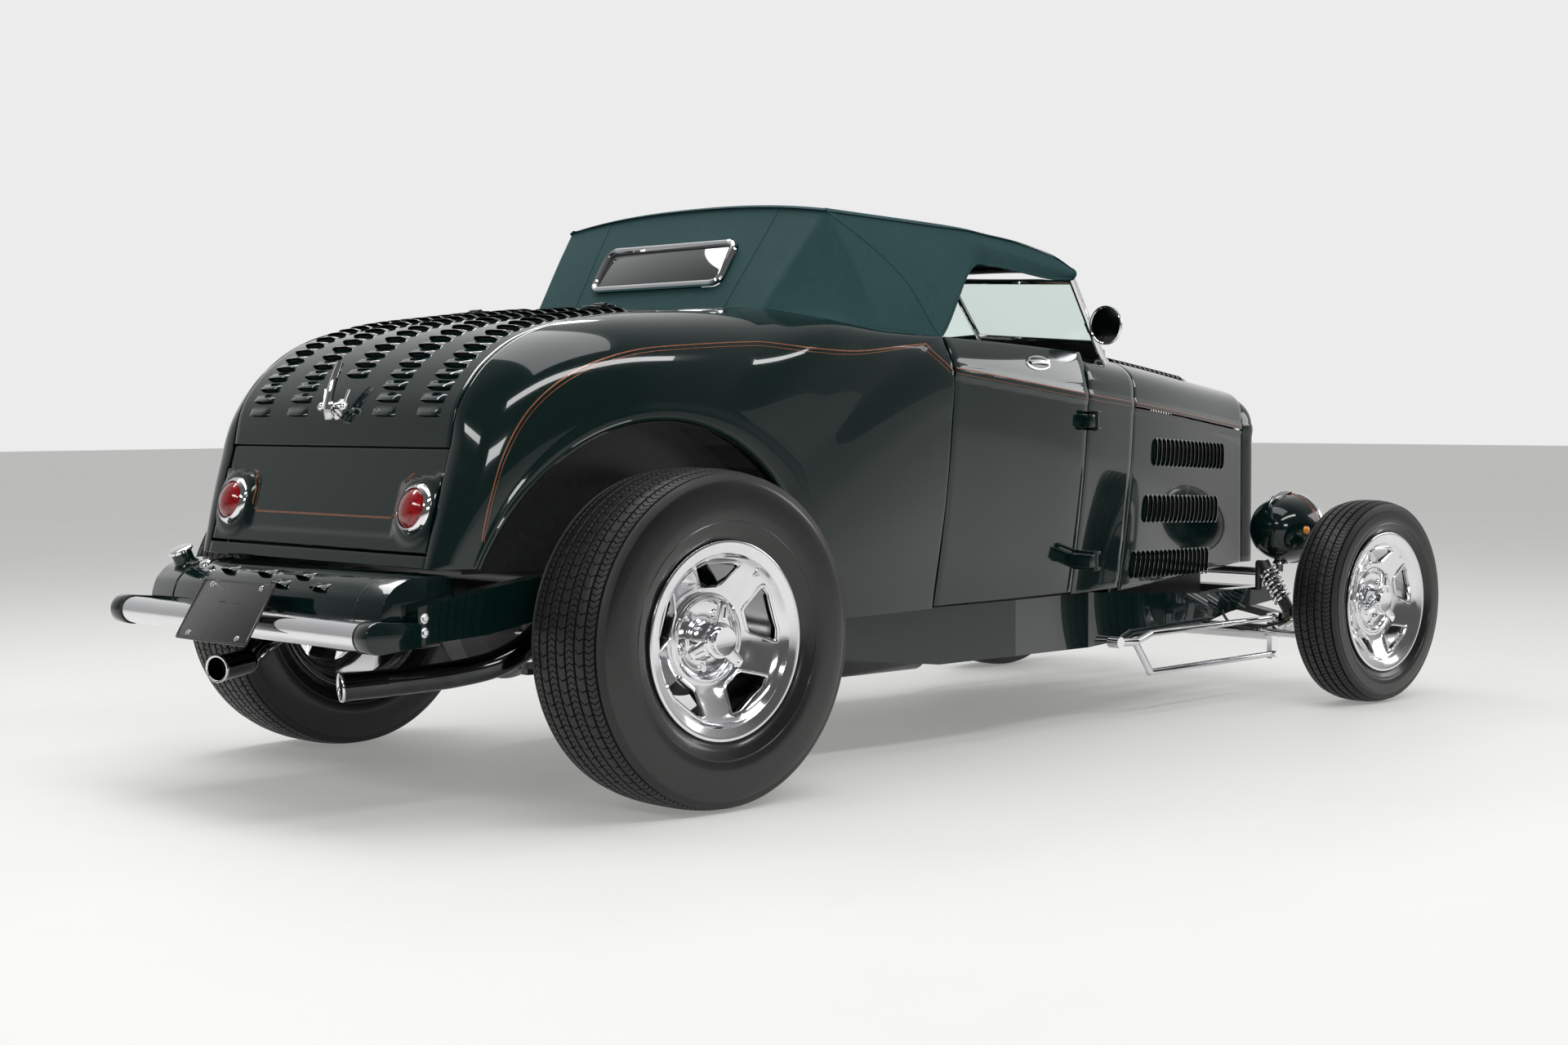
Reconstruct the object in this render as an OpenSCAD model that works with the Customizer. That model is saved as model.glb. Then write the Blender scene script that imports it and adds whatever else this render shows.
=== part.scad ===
// Street rod roadster with a soft top, built as separate pieces on a ladder frame.
// +X forward, +Y left, +Z up. The origin is on the ground under the middle of the whole car.
// Inside on_car() x is counted from the rear axle, and widths are half widths.

/* [Overall] */
// Distance between the axles
wheelbase = 2692; // [2560:1:3300]
// From the rear axle to the number plate's rearmost edge
rear_overhang = 790; // [770:1:840]
// Body width at the rear edge of the doors
body_w = 1280; // [1240:1:1340]

/* [Rear wheels] */
// Radius of the rear tyres
rear_tyre_r = 378; // [350:1:390]
// Section width of the rear tyres
rear_tyre_w = 245; // [225:1:265]
// Rear track, middle of tyre to middle of tyre
rear_track = 1452; // [1440:1:1520]
// Radius of the rear rims' flanges
rear_flange_r = 221; // [205:1:250]
// Width of the rear rims over the flanges
rear_rim_w = 219; // [190:1:225]

/* [Front wheels] */
// Radius of the front tyres
front_tyre_r = 303; // [275:1:330]
// Section width of the front tyres
front_tyre_w = 148; // [135:1:165]
// Front track, middle of tyre to middle of tyre
front_track = 1476; // [1460:1:1560]
// Radius of the front rims' flanges
front_flange_r = 207.5; // [195:0.5:215]
// Width of the front rims over the flanges
front_rim_w = 134; // [120:1:140]
// Distance between the two kingpins
kingpin_track = 1290; // [1270:1:1300]

/* [Panels] */
// Thickness of the fixed body panels with their inner flanges
panel_t = 25; // [18:1:30]
// Thickness of a whole door
door_t = 60; // [40:1:70]
// Thickness of the deck lid and the hood
lid_t = 20; // [14:1:24]
// Gap round the doors, the deck lid and the hood tops
panel_gap = 6; // [5:0.5:8]
// Thickness of the canvas top with its bows and lining
canvas_t = 18; // [12:1:24]
// Radius of the wheel arches
arch_r = 465; // [440:1:480]
// Height of the wheel arches' centre above the ground
arch_z = 400; // [390:1:410]

/* [Frame] */
// Width of a frame rail
rail_w = 45; // [36:1:60]
// Outside diameter of the front axle's beam
axle_d = 50; // [42:1:60]
// Outside diameter of the rear axle's tubes
rear_axle_d = 80; // [70:1:90]
// Outside diameter of the bumper tube
bumper_d = 63; // [50:1:70]
// Outside diameter of the exhaust pipes
pipe_d = 60; // [50:1:66]

/* [Hidden] */
$fn = 48;

paint = [0.02, 0.09, 0.085];
canvas = [0.03, 0.22, 0.21];
chrome = [0.82, 0.83, 0.85];
polished = [0.75, 0.76, 0.78];
black = [0.06, 0.06, 0.06];
rubber = [0.1, 0.1, 0.1];

// Clearance between pieces that sit on each other
seat = 0.3;
car_x = -(wheelbase + front_tyre_r - rear_overhang) / 2;
width_k = body_w / 1280;

// Places along the car, from the rear axle
tail_x = -529;
lid_front_x = 130;
cockpit_x = 470;
door_rear_x = 950;
door_front_x = 1556;
cowl_front_x = 1834;
shell_x = wheelbase + 26;
shell_front_x = shell_x + 84;

// Heights
body_z = 375;
shell_z = 397;
tail_z = 544;
lid_z = 574;
belt_shell_z = 816;

// Body sides: x, half width at the bottom, half width at the belt, belt height, top half width, top height
side_rows = [
    [door_rear_x, 565, 640, 978, 600, 1067],
    [1250, 547, 616, 945, 581, 1053],
    [door_front_x, 520, 580, 913, 551, 1037],
    [cowl_front_x, 467, 520, 891, 494, 1030],
    [shell_x, 262, 262, belt_shell_z, 250, 900]
];
// Height of the cowl and the hood on the centre line: x, z
crown_rows = [[door_front_x, 1062], [cowl_front_x, 1037], [shell_x - 318, 979], [shell_x, 945]];
// Centre line of the tail and the deck: x, z
deck_rows = [
    [tail_x, tail_z], [-521, lid_z], [-490, 690], [-457, 803], [-438, 885], [-405, 940], [-350, 995],
    [-265, 1048], [-150, 1083], [0, 1104], [lid_front_x, 1114], [300, 1124], [cockpit_x, 1130]
];
deck_half_w = 452;
deck_crown = 12;
crease_z = 803;

// Frame rails: x, outer half width, bottom, top
rail_rows = [
    [-600, 530, 390, 470], [-420, 530, 400, 500], [-180, 530, 440, 530], [160, 530, 440, 530],
    [450, 545, 290, body_z], [700, 545, 258, body_z], [1000, 545, 226, body_z],
    [1300, 545, 226, body_z], [1692, 475, 215, body_z - 5], [cowl_front_x + 120, 446, 226, 352],
    [wheelbase - 338, 400, 240, 325], [wheelbase - 212, 392, 262, 330], [wheelbase + 68, 392, 290, 330]
];

// Quarter panel from the wheel arch to its outer edge: arch angle, arch half width,
// middle x, half width, z, edge x, half width, z, share of roll towards the arch centre
quarter_rows = [
    [-3.1, 606, 700, 600, 375, door_rear_x, 565, 375, 0],
    [9, 620, 720, 628, 600, door_rear_x, 612, 640, 0],
    [20, 626, 730, 642, 790, door_rear_x, 634, 850, 0],
    [30, 628, 740, 650, 930, door_rear_x, 640, 978, 0],
    [39, 628, 760, 656, 1040, door_rear_x, 600, 1067, 0],
    [50, 628, 620, 662, 1040, 730, 600, 1076, 0],
    [62, 627, 480, 664, 1060, 573, 575, 1100, 0.2],
    [74, 624, 340, 655, 1085, cockpit_x, deck_half_w, 1130, 1],
    [85, 620, 130, 642, 1085, 200, deck_half_w, 1118, 1],
    [97, 615, -70, 628, 1070, -50, deck_half_w, 1098, 1],
    [110, 604, -240, 612, 1010, -225, deck_half_w, 1064, 1],
    [123, 590, -365, 592, 925, -350, deck_half_w, 995, 1],
    [136, 572, -440, 572, 830, -430, deck_half_w, 900, 1],
    [147, 554, -485, 552, 730, -457, deck_half_w, 803, 1],
    [156, 538, -515, 532, 630, -490, deck_half_w, 690, 1],
    [162, 526, -535, 512, tail_z, tail_x, deck_half_w, tail_z, 1]
];

// Hoops of the canvas top: lower edge x, y, z, shoulder x, y, z, crown x, z
hoop_rows = [
    [573, 575, 1100, cockpit_x, deck_half_w, 1130, cockpit_x, 1130],
    [625, 583, 1092.5, 526, 470, 1212, 526, 1220],
    [680, 592, 1084, 583, 487, 1295, 583, 1311],
    [730, 600, 1076, 639, 501, 1374, 639, 1400],
    [840, 600, 1072, 850, 507, 1364, 850, 1402],
    [door_rear_x - 2, 600, 1067, 1000, 509, 1357, 1000, 1398],
    [1137, 527, 1246, 1137, 511, 1350, 1137, 1388],
    [1220, 525, 1260, 1220, 513, 1340, 1220, 1382],
    [1340, 522, 1250, 1340, 515, 1326, 1345, 1368],
    [1470, 520, 1236, 1470, 518, 1300, 1500, 1338],
    [1562, 520, 1238, 1566, 518, 1263, 1662, 1290]
];
rear_panel_hoops = 3;

// Windshield: foot of the side posts, their tops, and the centre post's ends
post_foot = [1698, 520 * width_k, 1020];
post_top = [1560, 520 * width_k, 1236];
centre_foot = [1770, 0, 1098];
centre_top = [1640, 0, 1254];
post_r = 10;
glass_t = 6;
// Ends of the glass as shares of the side posts
glass_low = 0.21;
glass_high = 0.967;

// Rear axle, steering and springs
front_axle_z = front_tyre_r;
beam_z = front_axle_z - 118;
beam_bend_y = 400;
kingpin_y = kingpin_track / 2;
kingpin_r = 11;
boss_r = 24;
boss_h = 80;
arm_x = -150;
arm_y = kingpin_y - 35;
spring_y = 430;
rear_cross_x = -150;
rear_cross_z = 505;
mid_cross_x = [780, 1180];
mid_cross_top = body_z - 3;
shaft_rear = [147, 0, rear_tyre_r];
shaft_front = [1420, 0, 320];
shaft_r = 36;

function col(rows, k) = [for (r = rows) [r[0], r[k]]];
function bottom_y(x) = width_k * lookup(x, col(side_rows, 1));
function belt_y(x) = width_k * lookup(x, col(side_rows, 2));
function belt_z(x) = lookup(x, col(side_rows, 3));
function top_y(x) = width_k * lookup(x, col(side_rows, 4));
function top_z(x) = lookup(x, col(side_rows, 5));
function crown_z(x) = lookup(x, crown_rows);
function rail_y(x) = width_k * lookup(x, col(rail_rows, 1));
function mix(a, b, t) = a + (b - a) * t;
function unit(v) = v / norm(v);

// Half width of the body side between its bottom z0 and its top edge
function side_y(x, z, z0) =
    z <= belt_z(x)
        ? mix(bottom_y(x), belt_y(x), 1 - pow(1 - (z - z0) / (belt_z(x) - z0), 1.6))
        : mix(belt_y(x), top_y(x), pow((z - belt_z(x)) / (top_z(x) - belt_z(x)), 2));

// Closed shell between an outer and an inner grid of points. Rows crossed with columns point outwards.
module skin(outer, inner) {
    n = len(outer);
    m = len(outer[0]);
    o = n * m;
    function id(i, j) = i * m + j;
    points = concat([for (r = outer) each r], [for (r = inner) each r]);
    faces = concat(
        [for (i = [0:n - 2], j = [0:m - 2]) [id(i, j), id(i, j + 1), id(i + 1, j + 1)]],
        [for (i = [0:n - 2], j = [0:m - 2]) [id(i, j), id(i + 1, j + 1), id(i + 1, j)]],
        [for (i = [0:n - 2], j = [0:m - 2]) [o + id(i, j), o + id(i + 1, j + 1), o + id(i, j + 1)]],
        [for (i = [0:n - 2], j = [0:m - 2]) [o + id(i, j), o + id(i + 1, j), o + id(i + 1, j + 1)]],
        [for (i = [0:n - 2]) [id(i, 0), id(i + 1, 0), o + id(i + 1, 0)]],
        [for (i = [0:n - 2]) [id(i, 0), o + id(i + 1, 0), o + id(i, 0)]],
        [for (i = [0:n - 2]) [id(i + 1, m - 1), id(i, m - 1), o + id(i, m - 1)]],
        [for (i = [0:n - 2]) [id(i + 1, m - 1), o + id(i, m - 1), o + id(i + 1, m - 1)]],
        [for (j = [0:m - 2]) [id(0, j + 1), id(0, j), o + id(0, j)]],
        [for (j = [0:m - 2]) [id(0, j + 1), o + id(0, j), o + id(0, j + 1)]],
        [for (j = [0:m - 2]) [id(n - 1, j), id(n - 1, j + 1), o + id(n - 1, j + 1)]],
        [for (j = [0:m - 2]) [id(n - 1, j), o + id(n - 1, j + 1), o + id(n - 1, j)]]
    );
    polyhedron(points, faces, convexity = 6);
}

// Round bar from p to q
module rod(p, q, r) {
    v = q - p;
    translate(p)
        rotate([0, acos(v.z / norm(v)), atan2(v.y, v.x)])
            cylinder(r = r, h = norm(v));
}

// Pieces in the car's frame, counted from the rear axle
module on_car() {
    translate([car_x, 0, 0]) children();
}

module both_sides() {
    for (s = [0, 1]) mirror([0, s, 0]) children();
}

// A solid turned about the Y axis, drawn as half width against radius
module turned_y(x, z) {
    translate([x, 0, z]) rotate([90, 0, 0]) rotate_extrude($fn = 96) children();
}

// ---------- frame ----------

module rail() {
    outer = [for (r = rail_rows) [[r[0], -rail_y(r[0]), r[2]], [r[0], -rail_y(r[0]), r[3]]]];
    inner = [for (r = outer) [for (p = r) [p.x, p.y + rail_w, p.z]]];
    skin(outer, inner);
}

module frame_rails() {
    color(paint) on_car() both_sides() rail();
}

module crossmembers() {
    rear_half = rail_y(rear_cross_x) - rail_w;
    front_half = rail_y(wheelbase) - rail_w;
    color(black) on_car() {
        rod([rear_cross_x, -rear_half, rear_cross_z], [rear_cross_x, rear_half, rear_cross_z], 22);
        for (x = mid_cross_x) difference() {
            half = rail_y(x) - rail_w;
            union() {
                translate([x, -half, 314]) cube([60, 2 * half, mid_cross_top - 314]);
                translate([x, -110, 244]) cube([60, 220, mid_cross_top - 244]);
            }
            rod(shaft_rear, shaft_front, shaft_r + 10);
        }
        translate([wheelbase - 32, -front_half, 292]) cube([64, 2 * front_half, 34]);
    }
}

// ---------- front axle and steering ----------

module axle_beam(grow) {
    r = axle_d / 2 + grow;
    rod([wheelbase, -beam_bend_y, beam_z], [wheelbase, beam_bend_y, beam_z], r);
    both_sides() {
        rod([wheelbase, -beam_bend_y, beam_z], [wheelbase, -kingpin_y + 20, front_axle_z - 4], r - 1);
        translate([wheelbase, -beam_bend_y, beam_z]) sphere(r = r + 1.5);
    }
}

module front_axle() {
    color(chrome) on_car() difference() {
        union() {
            axle_beam(0);
            both_sides() translate([wheelbase, -kingpin_y, front_axle_z - boss_h / 2])
                cylinder(r = boss_r, h = boss_h);
        }
        both_sides() translate([wheelbase, -kingpin_y, 0]) {
            cylinder(r = kingpin_r + 0.05, h = 2 * front_axle_z);
            for (side = [-1, 1]) translate([0, 0, front_axle_z + side * boss_h])
                cube([90, 130, boss_h], center = true);
        }
    }
}

// Hairpin radius rods from the frame to the axle, in front of a clevis on the rail
module radius_rods() {
    pivot = [cowl_front_x - 30, rail_y(cowl_front_x - 30) + 22, 222];
    fork_x = pivot.x + 95;
    plate_x = wheelbase - 60;
    color(chrome) on_car() both_sides() {
        rod([pivot.x, -pivot.y - 18, pivot.z], [pivot.x, -rail_y(pivot.x - 16) - seat, pivot.z], 16);
        rod([pivot.x, -pivot.y, pivot.z], [fork_x + 4, -pivot.y + 6, pivot.z - 6], 12);
        for (z = [beam_z + 50, beam_z - 62]) {
            rod([fork_x, -pivot.y + 6, pivot.z - 6], [fork_x + 74, -pivot.y + 8, z], 10);
            rod([fork_x + 66, -pivot.y + 8, z], [plate_x + 20, -spring_y, z], 9);
        }
        translate([plate_x, -spring_y - 9, beam_z - 76])
            cube([wheelbase - axle_d / 2 - seat - plate_x, 18, 140]);
    }
}

// Cross leaf spring, its shackles and two leaning shock absorbers
module front_suspension() {
    leaf = 22;
    rise = 46;
    spring_top = 291.7;
    radius = (spring_y * spring_y + rise * rise) / (2 * rise);
    half_angle = asin(spring_y / radius);
    mount_r = 11;
    mount_y = rail_y(wheelbase - 80) + mount_r + seat;
    color(black) on_car() difference() {
        union() {
            translate([wheelbase, 0, spring_top - radius]) rotate([90, 0, 90])
                translate([0, 0, -24]) rotate([0, 0, 90 - half_angle])
                    linear_extrude(48) intersection() {
                        difference() {
                            circle(r = radius, $fn = 240);
                            circle(r = radius - leaf, $fn = 240);
                        }
                        polygon([[0, 0], [2 * radius, 0],
                            2 * radius * [cos(2 * half_angle), sin(2 * half_angle)]]);
                    }
            both_sides() {
                translate([wheelbase - 3, -spring_y - 6, beam_z]) cube([26, 22, 62]);
                rod([wheelbase - 60, -500, beam_z + 78], [wheelbase - 80, -418, 408], 19);
                rod([wheelbase - 60, -500, beam_z + 60], [wheelbase - 60, -500, beam_z + 90], 12);
                rod([wheelbase - 66, -500, beam_z + 64], [wheelbase, -500, beam_z + 64], 11);
                rod([wheelbase - 80, -430, 402], [wheelbase - 80, -mount_y + 5, 402], 12);
                rod([wheelbase - 80, -mount_y, 402], [wheelbase - 80, -mount_y, 322], mount_r);
            }
        }
        axle_beam(seat);
    }
}

// Knuckle of the right wheel: yoke, kingpin, spindle, brake plate and steering arm
module knuckle() {
    lug = 22;
    reach = front_track / 2 - kingpin_y;
    translate([wheelbase, -kingpin_y, front_axle_z]) {
        cylinder(r = kingpin_r, h = boss_h + 2 * lug, center = true);
        for (side = [-1, 1]) translate([0, 0, side * (boss_h / 2 + lug / 2 + seat)])
            cylinder(r = boss_r, h = lug, center = true);
        difference() {
            translate([-26, -44, -boss_h / 2 - lug]) cube([52, 44, boss_h + 2 * lug]);
            cylinder(r = boss_r + 4, h = boss_h + 2 * seat, center = true);
            translate([-27, -30, -boss_h / 2 - seat]) cube([54, 60, boss_h + 2 * seat]);
        }
        rotate([90, 0, 0]) translate([0, 0, 43]) cylinder(r = 118, h = 8, $fn = 96);
        rotate([90, 0, 0]) translate([0, 0, 50]) cylinder(r = 26, h = reach - 70 - seat);
        translate([0, 12, -boss_h / 2 - lug]) rotate([0, 0, atan2(kingpin_y - arm_y - 12, arm_x)])
            translate([0, -11, 0]) cube([norm([arm_x, kingpin_y - arm_y - 12]), 22, 14]);
        translate([arm_x, kingpin_y - arm_y, -boss_h / 2 - lug]) cylinder(r = 15, h = 14);
    }
}

module knuckle_right() {
    color(black) on_car() knuckle();
}

module knuckle_left() {
    color(black) on_car() mirror([0, 1, 0]) knuckle();
}

// Bar that joins the two steering arms, carried under them
module tie_rod() {
    z = front_axle_z - boss_h / 2 - 22;
    color(chrome) on_car() translate([wheelbase + arm_x, 0, z]) {
        rod([0, -arm_y, -40], [0, arm_y, -40], 11);
        both_sides() {
            translate([0, -arm_y, -54]) cylinder(r = 16, h = 54 - seat);
        }
    }
}

// ---------- wheels ----------

// Tyre about the Y axis, its middle at y = 0
module tyre(r, w, flange_r, rim_w) {
    seat_r = flange_r - 18 + seat;
    side = rim_w / 2 - 5 - seat;
    tread = w * 0.34;
    turned_y(0, 0) polygon([
        [seat_r, -side], [flange_r + seat, -side], [flange_r + 18, -w * 0.47], [mix(flange_r, r, 0.5), -w / 2],
        [r - 30, -w * 0.45], [r - 9, -tread - 4], [r, -tread + 10], [r, tread - 10], [r - 9, tread + 4],
        [r - 30, w * 0.45], [mix(flange_r, r, 0.5), w / 2], [flange_r + 18, w * 0.47],
        [flange_r + seat, side], [seat_r, side]
    ]);
}

// Rim about the Y axis, its face towards -Y
module rim(flange_r, rim_w, face) {
    seat_r = flange_r - 18;
    half = rim_w / 2;
    rotate([90, 0, 0]) {
        difference() {
            rotate_extrude($fn = 96) polygon([
                [0, -20], [62, -20], [62, face - 26], [seat_r - 8, face - 26], [seat_r - 8, -half],
                [flange_r, -half], [flange_r, -half + 5], [seat_r, -half + 5], [seat_r, half - 5],
                [flange_r, half - 5], [flange_r, half], [seat_r + 4, half], [seat_r - 14, half - 16],
                [seat_r - 22, face + 2], [seat_r - 50, face - 6], [96, face - 6], [78, face + 14],
                [66, half - 12], [0, half - 10]
            ]);
            for (a = [0:72:359]) rotate([0, 0, a]) linear_extrude(height = 2 * half + 60, center = true)
                polygon([[106, -24], [seat_r - 30, -42], [seat_r - 30, 42], [106, 24]]);
        }
        translate([0, 0, half - 10]) cylinder(r = 30, h = 12);
        for (a = [30:120:390]) rotate([0, 0, a])
            translate([0, -11, half - 10]) cube([84, 22, 9]);
    }
}

module wheel_place(front, left) {
    x = front ? wheelbase : 0;
    y = (front ? front_track : rear_track) / 2;
    z = front ? front_tyre_r : rear_tyre_r;
    on_car() mirror([0, left ? 1 : 0, 0]) translate([x, -y, z]) children();
}

module front_tyre() {
    color(rubber) tyre(front_tyre_r, front_tyre_w, front_flange_r, front_rim_w);
}

module rear_tyre() {
    color(rubber) tyre(rear_tyre_r, rear_tyre_w, rear_flange_r, rear_rim_w);
}

module front_rim() {
    color(polished) rim(front_flange_r, front_rim_w, 30);
}

module rear_rim() {
    color(polished) rim(rear_flange_r, rear_rim_w, 66);
}

// ---------- rear axle and driveline ----------

module rear_axle() {
    hub_y = rear_track / 2 - 20 - seat;
    tube = rear_axle_d / 2;
    color(black) on_car() turned_y(0, rear_tyre_r) polygon([
        [0, -hub_y], [34, -hub_y], [34, -hub_y + 16], [132, -hub_y + 16], [132, -hub_y + 50],
        [60, -hub_y + 56], [tube, -hub_y + 90], [tube, -150], [118, -104], [146, -40], [146, 40],
        [118, 104], [tube, 150], [tube, hub_y - 90], [60, hub_y - 56], [132, hub_y - 50],
        [132, hub_y - 16], [34, hub_y - 16], [34, hub_y], [0, hub_y]
    ]);
}

// Coil-over springs, and trailing rods to the middle crossmember
module rear_suspension() {
    y = 335;
    low_z = rear_tyre_r - 86;
    color(black) on_car() difference() {
        both_sides() union() {
            translate([rear_cross_x - 24, -y - 12, low_z - 14]) cube([30 - rear_cross_x, 24, 26]);
            translate([-14, -y - 12, low_z - 14]) cube([34, 24, 84]);
            translate([rear_cross_x, -y, low_z]) cylinder(r = 27, h = rear_cross_z - 21 - low_z);
            rod([10, -y, low_z], [mid_cross_x[0] - 1.2, -y, 342], 14);
        }
        rod([0, -500, rear_tyre_r], [0, 500, rear_tyre_r], rear_axle_d / 2 + seat);
        rod([rear_cross_x, -500, rear_cross_z], [rear_cross_x, 500, rear_cross_z], 22 + seat);
    }
}

module driveline() {
    color(black) on_car() {
        rod(shaft_rear, shaft_front, shaft_r);
        translate([shaft_front.x + 0.5, -60, 250]) cube([200, 120, 140]);
        translate([1620, -100, 226]) cube([240, 200, 200]);
        translate([1859, -170, 222]) cube([cowl_front_x + 126 - 1859, 340, 230]);
    }
}

// Plain block of the engine with its mounts on the rails
module engine() {
    x0 = cowl_front_x + 126.5;
    length = shell_x - 150 - x0;
    mount_x = x0 + 200;
    reach = rail_y(mount_x + 80) - rail_w - seat;
    color(black) on_car() {
        translate([x0, -215, 240]) cube([length, 430, 380]);
        translate([x0 + 40, -240, 600]) cube([length - 120, 480, 180]);
        translate([x0 + 90, -130, 770]) cube([length - 260, 260, 120]);
        translate([mount_x, -reach, 270]) cube([80, 2 * reach, 34]);
    }
}

// Tail pipe route, right side: from the muffler over the axle to the tip
pipe_route = [
    [760, -330, 246], [620, -345, 252], [480, -370, 268], [360, -400, 305], [250, -424, 372],
    [160, -431, 430], [60, -433, 455], [-40, -434, 458], [-130, -438, 436], [-210, -458, 396],
    [-280, -474, 358], [-350, -460, 326], [-420, -410, 306], [-480, -350, 294], [-520, -301, 286]
];
pipe_dir = unit([-103, 40, -6]);

// Tube of 12 sides along a route
module sweep(route, r) {
    n = len(route);
    sides = 12;
    function ahead(i) = unit(route[min(i + 1, n - 1)] - route[max(i - 1, 0)]);
    function ring(i) =
        let (d = ahead(i), u = unit(cross(d, [0, 0, 1])), w = cross(u, d))
        [for (k = [0:sides - 1]) route[i] + r * (cos(360 * k / sides) * u + sin(360 * k / sides) * w)];
    points = [for (i = [0:n - 1]) each ring(i)];
    faces = concat(
        [for (i = [0:n - 2], k = [0:sides - 1])
            [i * sides + k, (i + 1) * sides + (k + 1) % sides, (i + 1) * sides + k]],
        [for (i = [0:n - 2], k = [0:sides - 1])
            [i * sides + k, i * sides + (k + 1) % sides, (i + 1) * sides + (k + 1) % sides]],
        [[for (k = [0:sides - 1]) sides - 1 - k]],
        [[for (k = [0:sides - 1]) (n - 1) * sides + k]]
    );
    polyhedron(points, faces, convexity = 4);
}

module exhaust_pipes() {
    tip_start = pipe_route[len(pipe_route) - 1] + 0.5 * pipe_dir;
    tip_end = tip_start + 108 * pipe_dir;
    down_pipe = [cowl_front_x + 90, -300, 262];
    color(chrome) on_car() both_sides() {
        sweep(pipe_route, pipe_d / 2);
        difference() {
            union() {
                rod(tip_start, tip_end, pipe_d / 2 - 1);
                rod(tip_start + 30 * pipe_dir, tip_end, pipe_d / 2);
            }
            rod(tip_start + 20 * pipe_dir, tip_end + 5 * pipe_dir, pipe_d / 2 - 3);
        }
        translate([760.5, -330, 246]) rotate([0, 90, 0]) cylinder(r = 58, h = 380);
        rod([1141, -330, 246], down_pipe, pipe_d / 2);
        rod(down_pipe + [-12, 0, 0], [cowl_front_x + 236, -243.6, 430], pipe_d / 2 - 1);
    }
}

// ---------- rear end ----------

module fuel_tank() {
    half = rail_y(-560) - rail_w - seat;
    color(paint) on_car() {
        rotate([90, 0, 0]) linear_extrude(height = 2 * half, center = true)
            polygon([[-655, 400], [-664, 418], [-664, 452], [-652, 486], [-626, 512], [-590, 528],
                [-500, 532], [-476, 520], [-470, 400]]);
        translate([-606, 425, 521.4]) rotate([0, -24, 0]) cylinder(r = 25, h = 38);
    }
}

// Chrome tube between two arms bolted to the frame
module rear_bumper() {
    r = bumper_d / 2;
    x = -707;
    z = 412;
    color(chrome) on_car() {
        rod([x, -499, z], [x, 499, z], r);
        both_sides() {
            translate([x, -499.5, z]) rotate([90, 0, 0]) cylinder(r = r + 3, h = 46);
            translate([x, -545.5, z - 26]) cube([-600 - x - 0.5, 46, 52]);
        }
    }
}

// Leaning plate, on a bracket from the tank's rear over the bumper
module license_plate() {
    tilt = 31;
    thick = 3;
    high = 155;
    x = -rear_overhang + high / 2 * sin(tilt) + thick / 2 * cos(tilt);
    z = 440;
    function plate_face(h) = x + (h - z) * tan(tilt) + thick / 2 / cos(tilt) + seat;
    function tank_face(h) = -664 + 12 * (h - 452) / 34 - seat;
    color(black) on_car() {
        translate([x, 0, z]) rotate([0, tilt, 0]) cube([thick, 305, high], center = true);
        rotate([90, 0, 0]) linear_extrude(height = 80, center = true)
            polygon([for (h = [462, 476]) [tank_face(h), h], for (h = [476, 462]) [plate_face(h), h]]);
    }
}

// ---------- body ----------

// Arch section of cowl, hood and shell from the right bottom over the top, inset by t
function arch_section(x, z0, t, power) = concat(
    [for (k = [0:5]) let (z = mix(z0, belt_z(x), k / 5)) [x, t - side_y(x, z, z0), z]],
    [for (a = [12:13:77]) crown_point(x, a, t, power)],
    [[x, 0, crown_z(x) - t]]
);
function crown_point(x, a, t, power) = [
    x,
    -(belt_y(x) - t) * pow(cos(a), 2 / power),
    belt_z(x) + (crown_z(x) - belt_z(x) - t) * pow(sin(a), 2 / power)
];
// Height of the crowned surface at x and half width y
function crown_at(x, y) =
    belt_z(x) + (crown_z(x) - belt_z(x)) * pow(1 - pow(y / belt_y(x), crown_power), 1 / crown_power);
function mirrored(half) = [for (i = [len(half) - 2:-1:0]) [half[i].x, -half[i].y, half[i].z]];
function whole(half) = concat(half, mirrored(half));
crown_power = 4.2;

module cowl() {
    xs = [door_front_x + panel_gap, 1650, 1740, cowl_front_x];
    outer = [for (x = xs) whole(arch_section(x, body_z, 0, crown_power))];
    inner = [for (x = xs) whole(arch_section(x, body_z, panel_t, crown_power))];
    color(paint) on_car() {
        skin(outer, inner);
        both_sides() for (z = [470, 850]) hinge_ears(z);
    }
}

// Exposed door hinge: an outboard pin carried by two ears on the cowl
hinge_x = door_front_x + panel_gap / 2;
hinge_y = belt_y(door_front_x) + 24;
module hinge_ears(z) {
    y = side_y(door_front_x + panel_gap, z, body_z);
    translate([hinge_x, -hinge_y, z - 26]) cylinder(r = 5, h = 52);
    for (h = [-26, 18]) translate([0, 0, z + h]) {
        translate([hinge_x, -hinge_y, 0]) cylinder(r = 10, h = 8);
        translate([hinge_x, -hinge_y - 7, 0]) cube([16, hinge_y + 7 - y + 4, 8]);
    }
}

// Door side knuckle of the same hinge
module hinge_knuckle(z) {
    y = side_y(door_front_x - panel_gap, z, body_z);
    difference() {
        union() {
            translate([hinge_x, -hinge_y, z - 17.5]) cylinder(r = 10, h = 35);
            translate([hinge_x - 26, -hinge_y - 7, z - 17.5]) cube([26, hinge_y + 7 - y + 6, 35]);
        }
        translate([hinge_x, -hinge_y, z - 30]) cylinder(r = 5.05, h = 60);
        translate([hinge_x - 5, -hinge_y + 11, z - 30]) cube([60, 200, 60]);
    }
}

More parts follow.
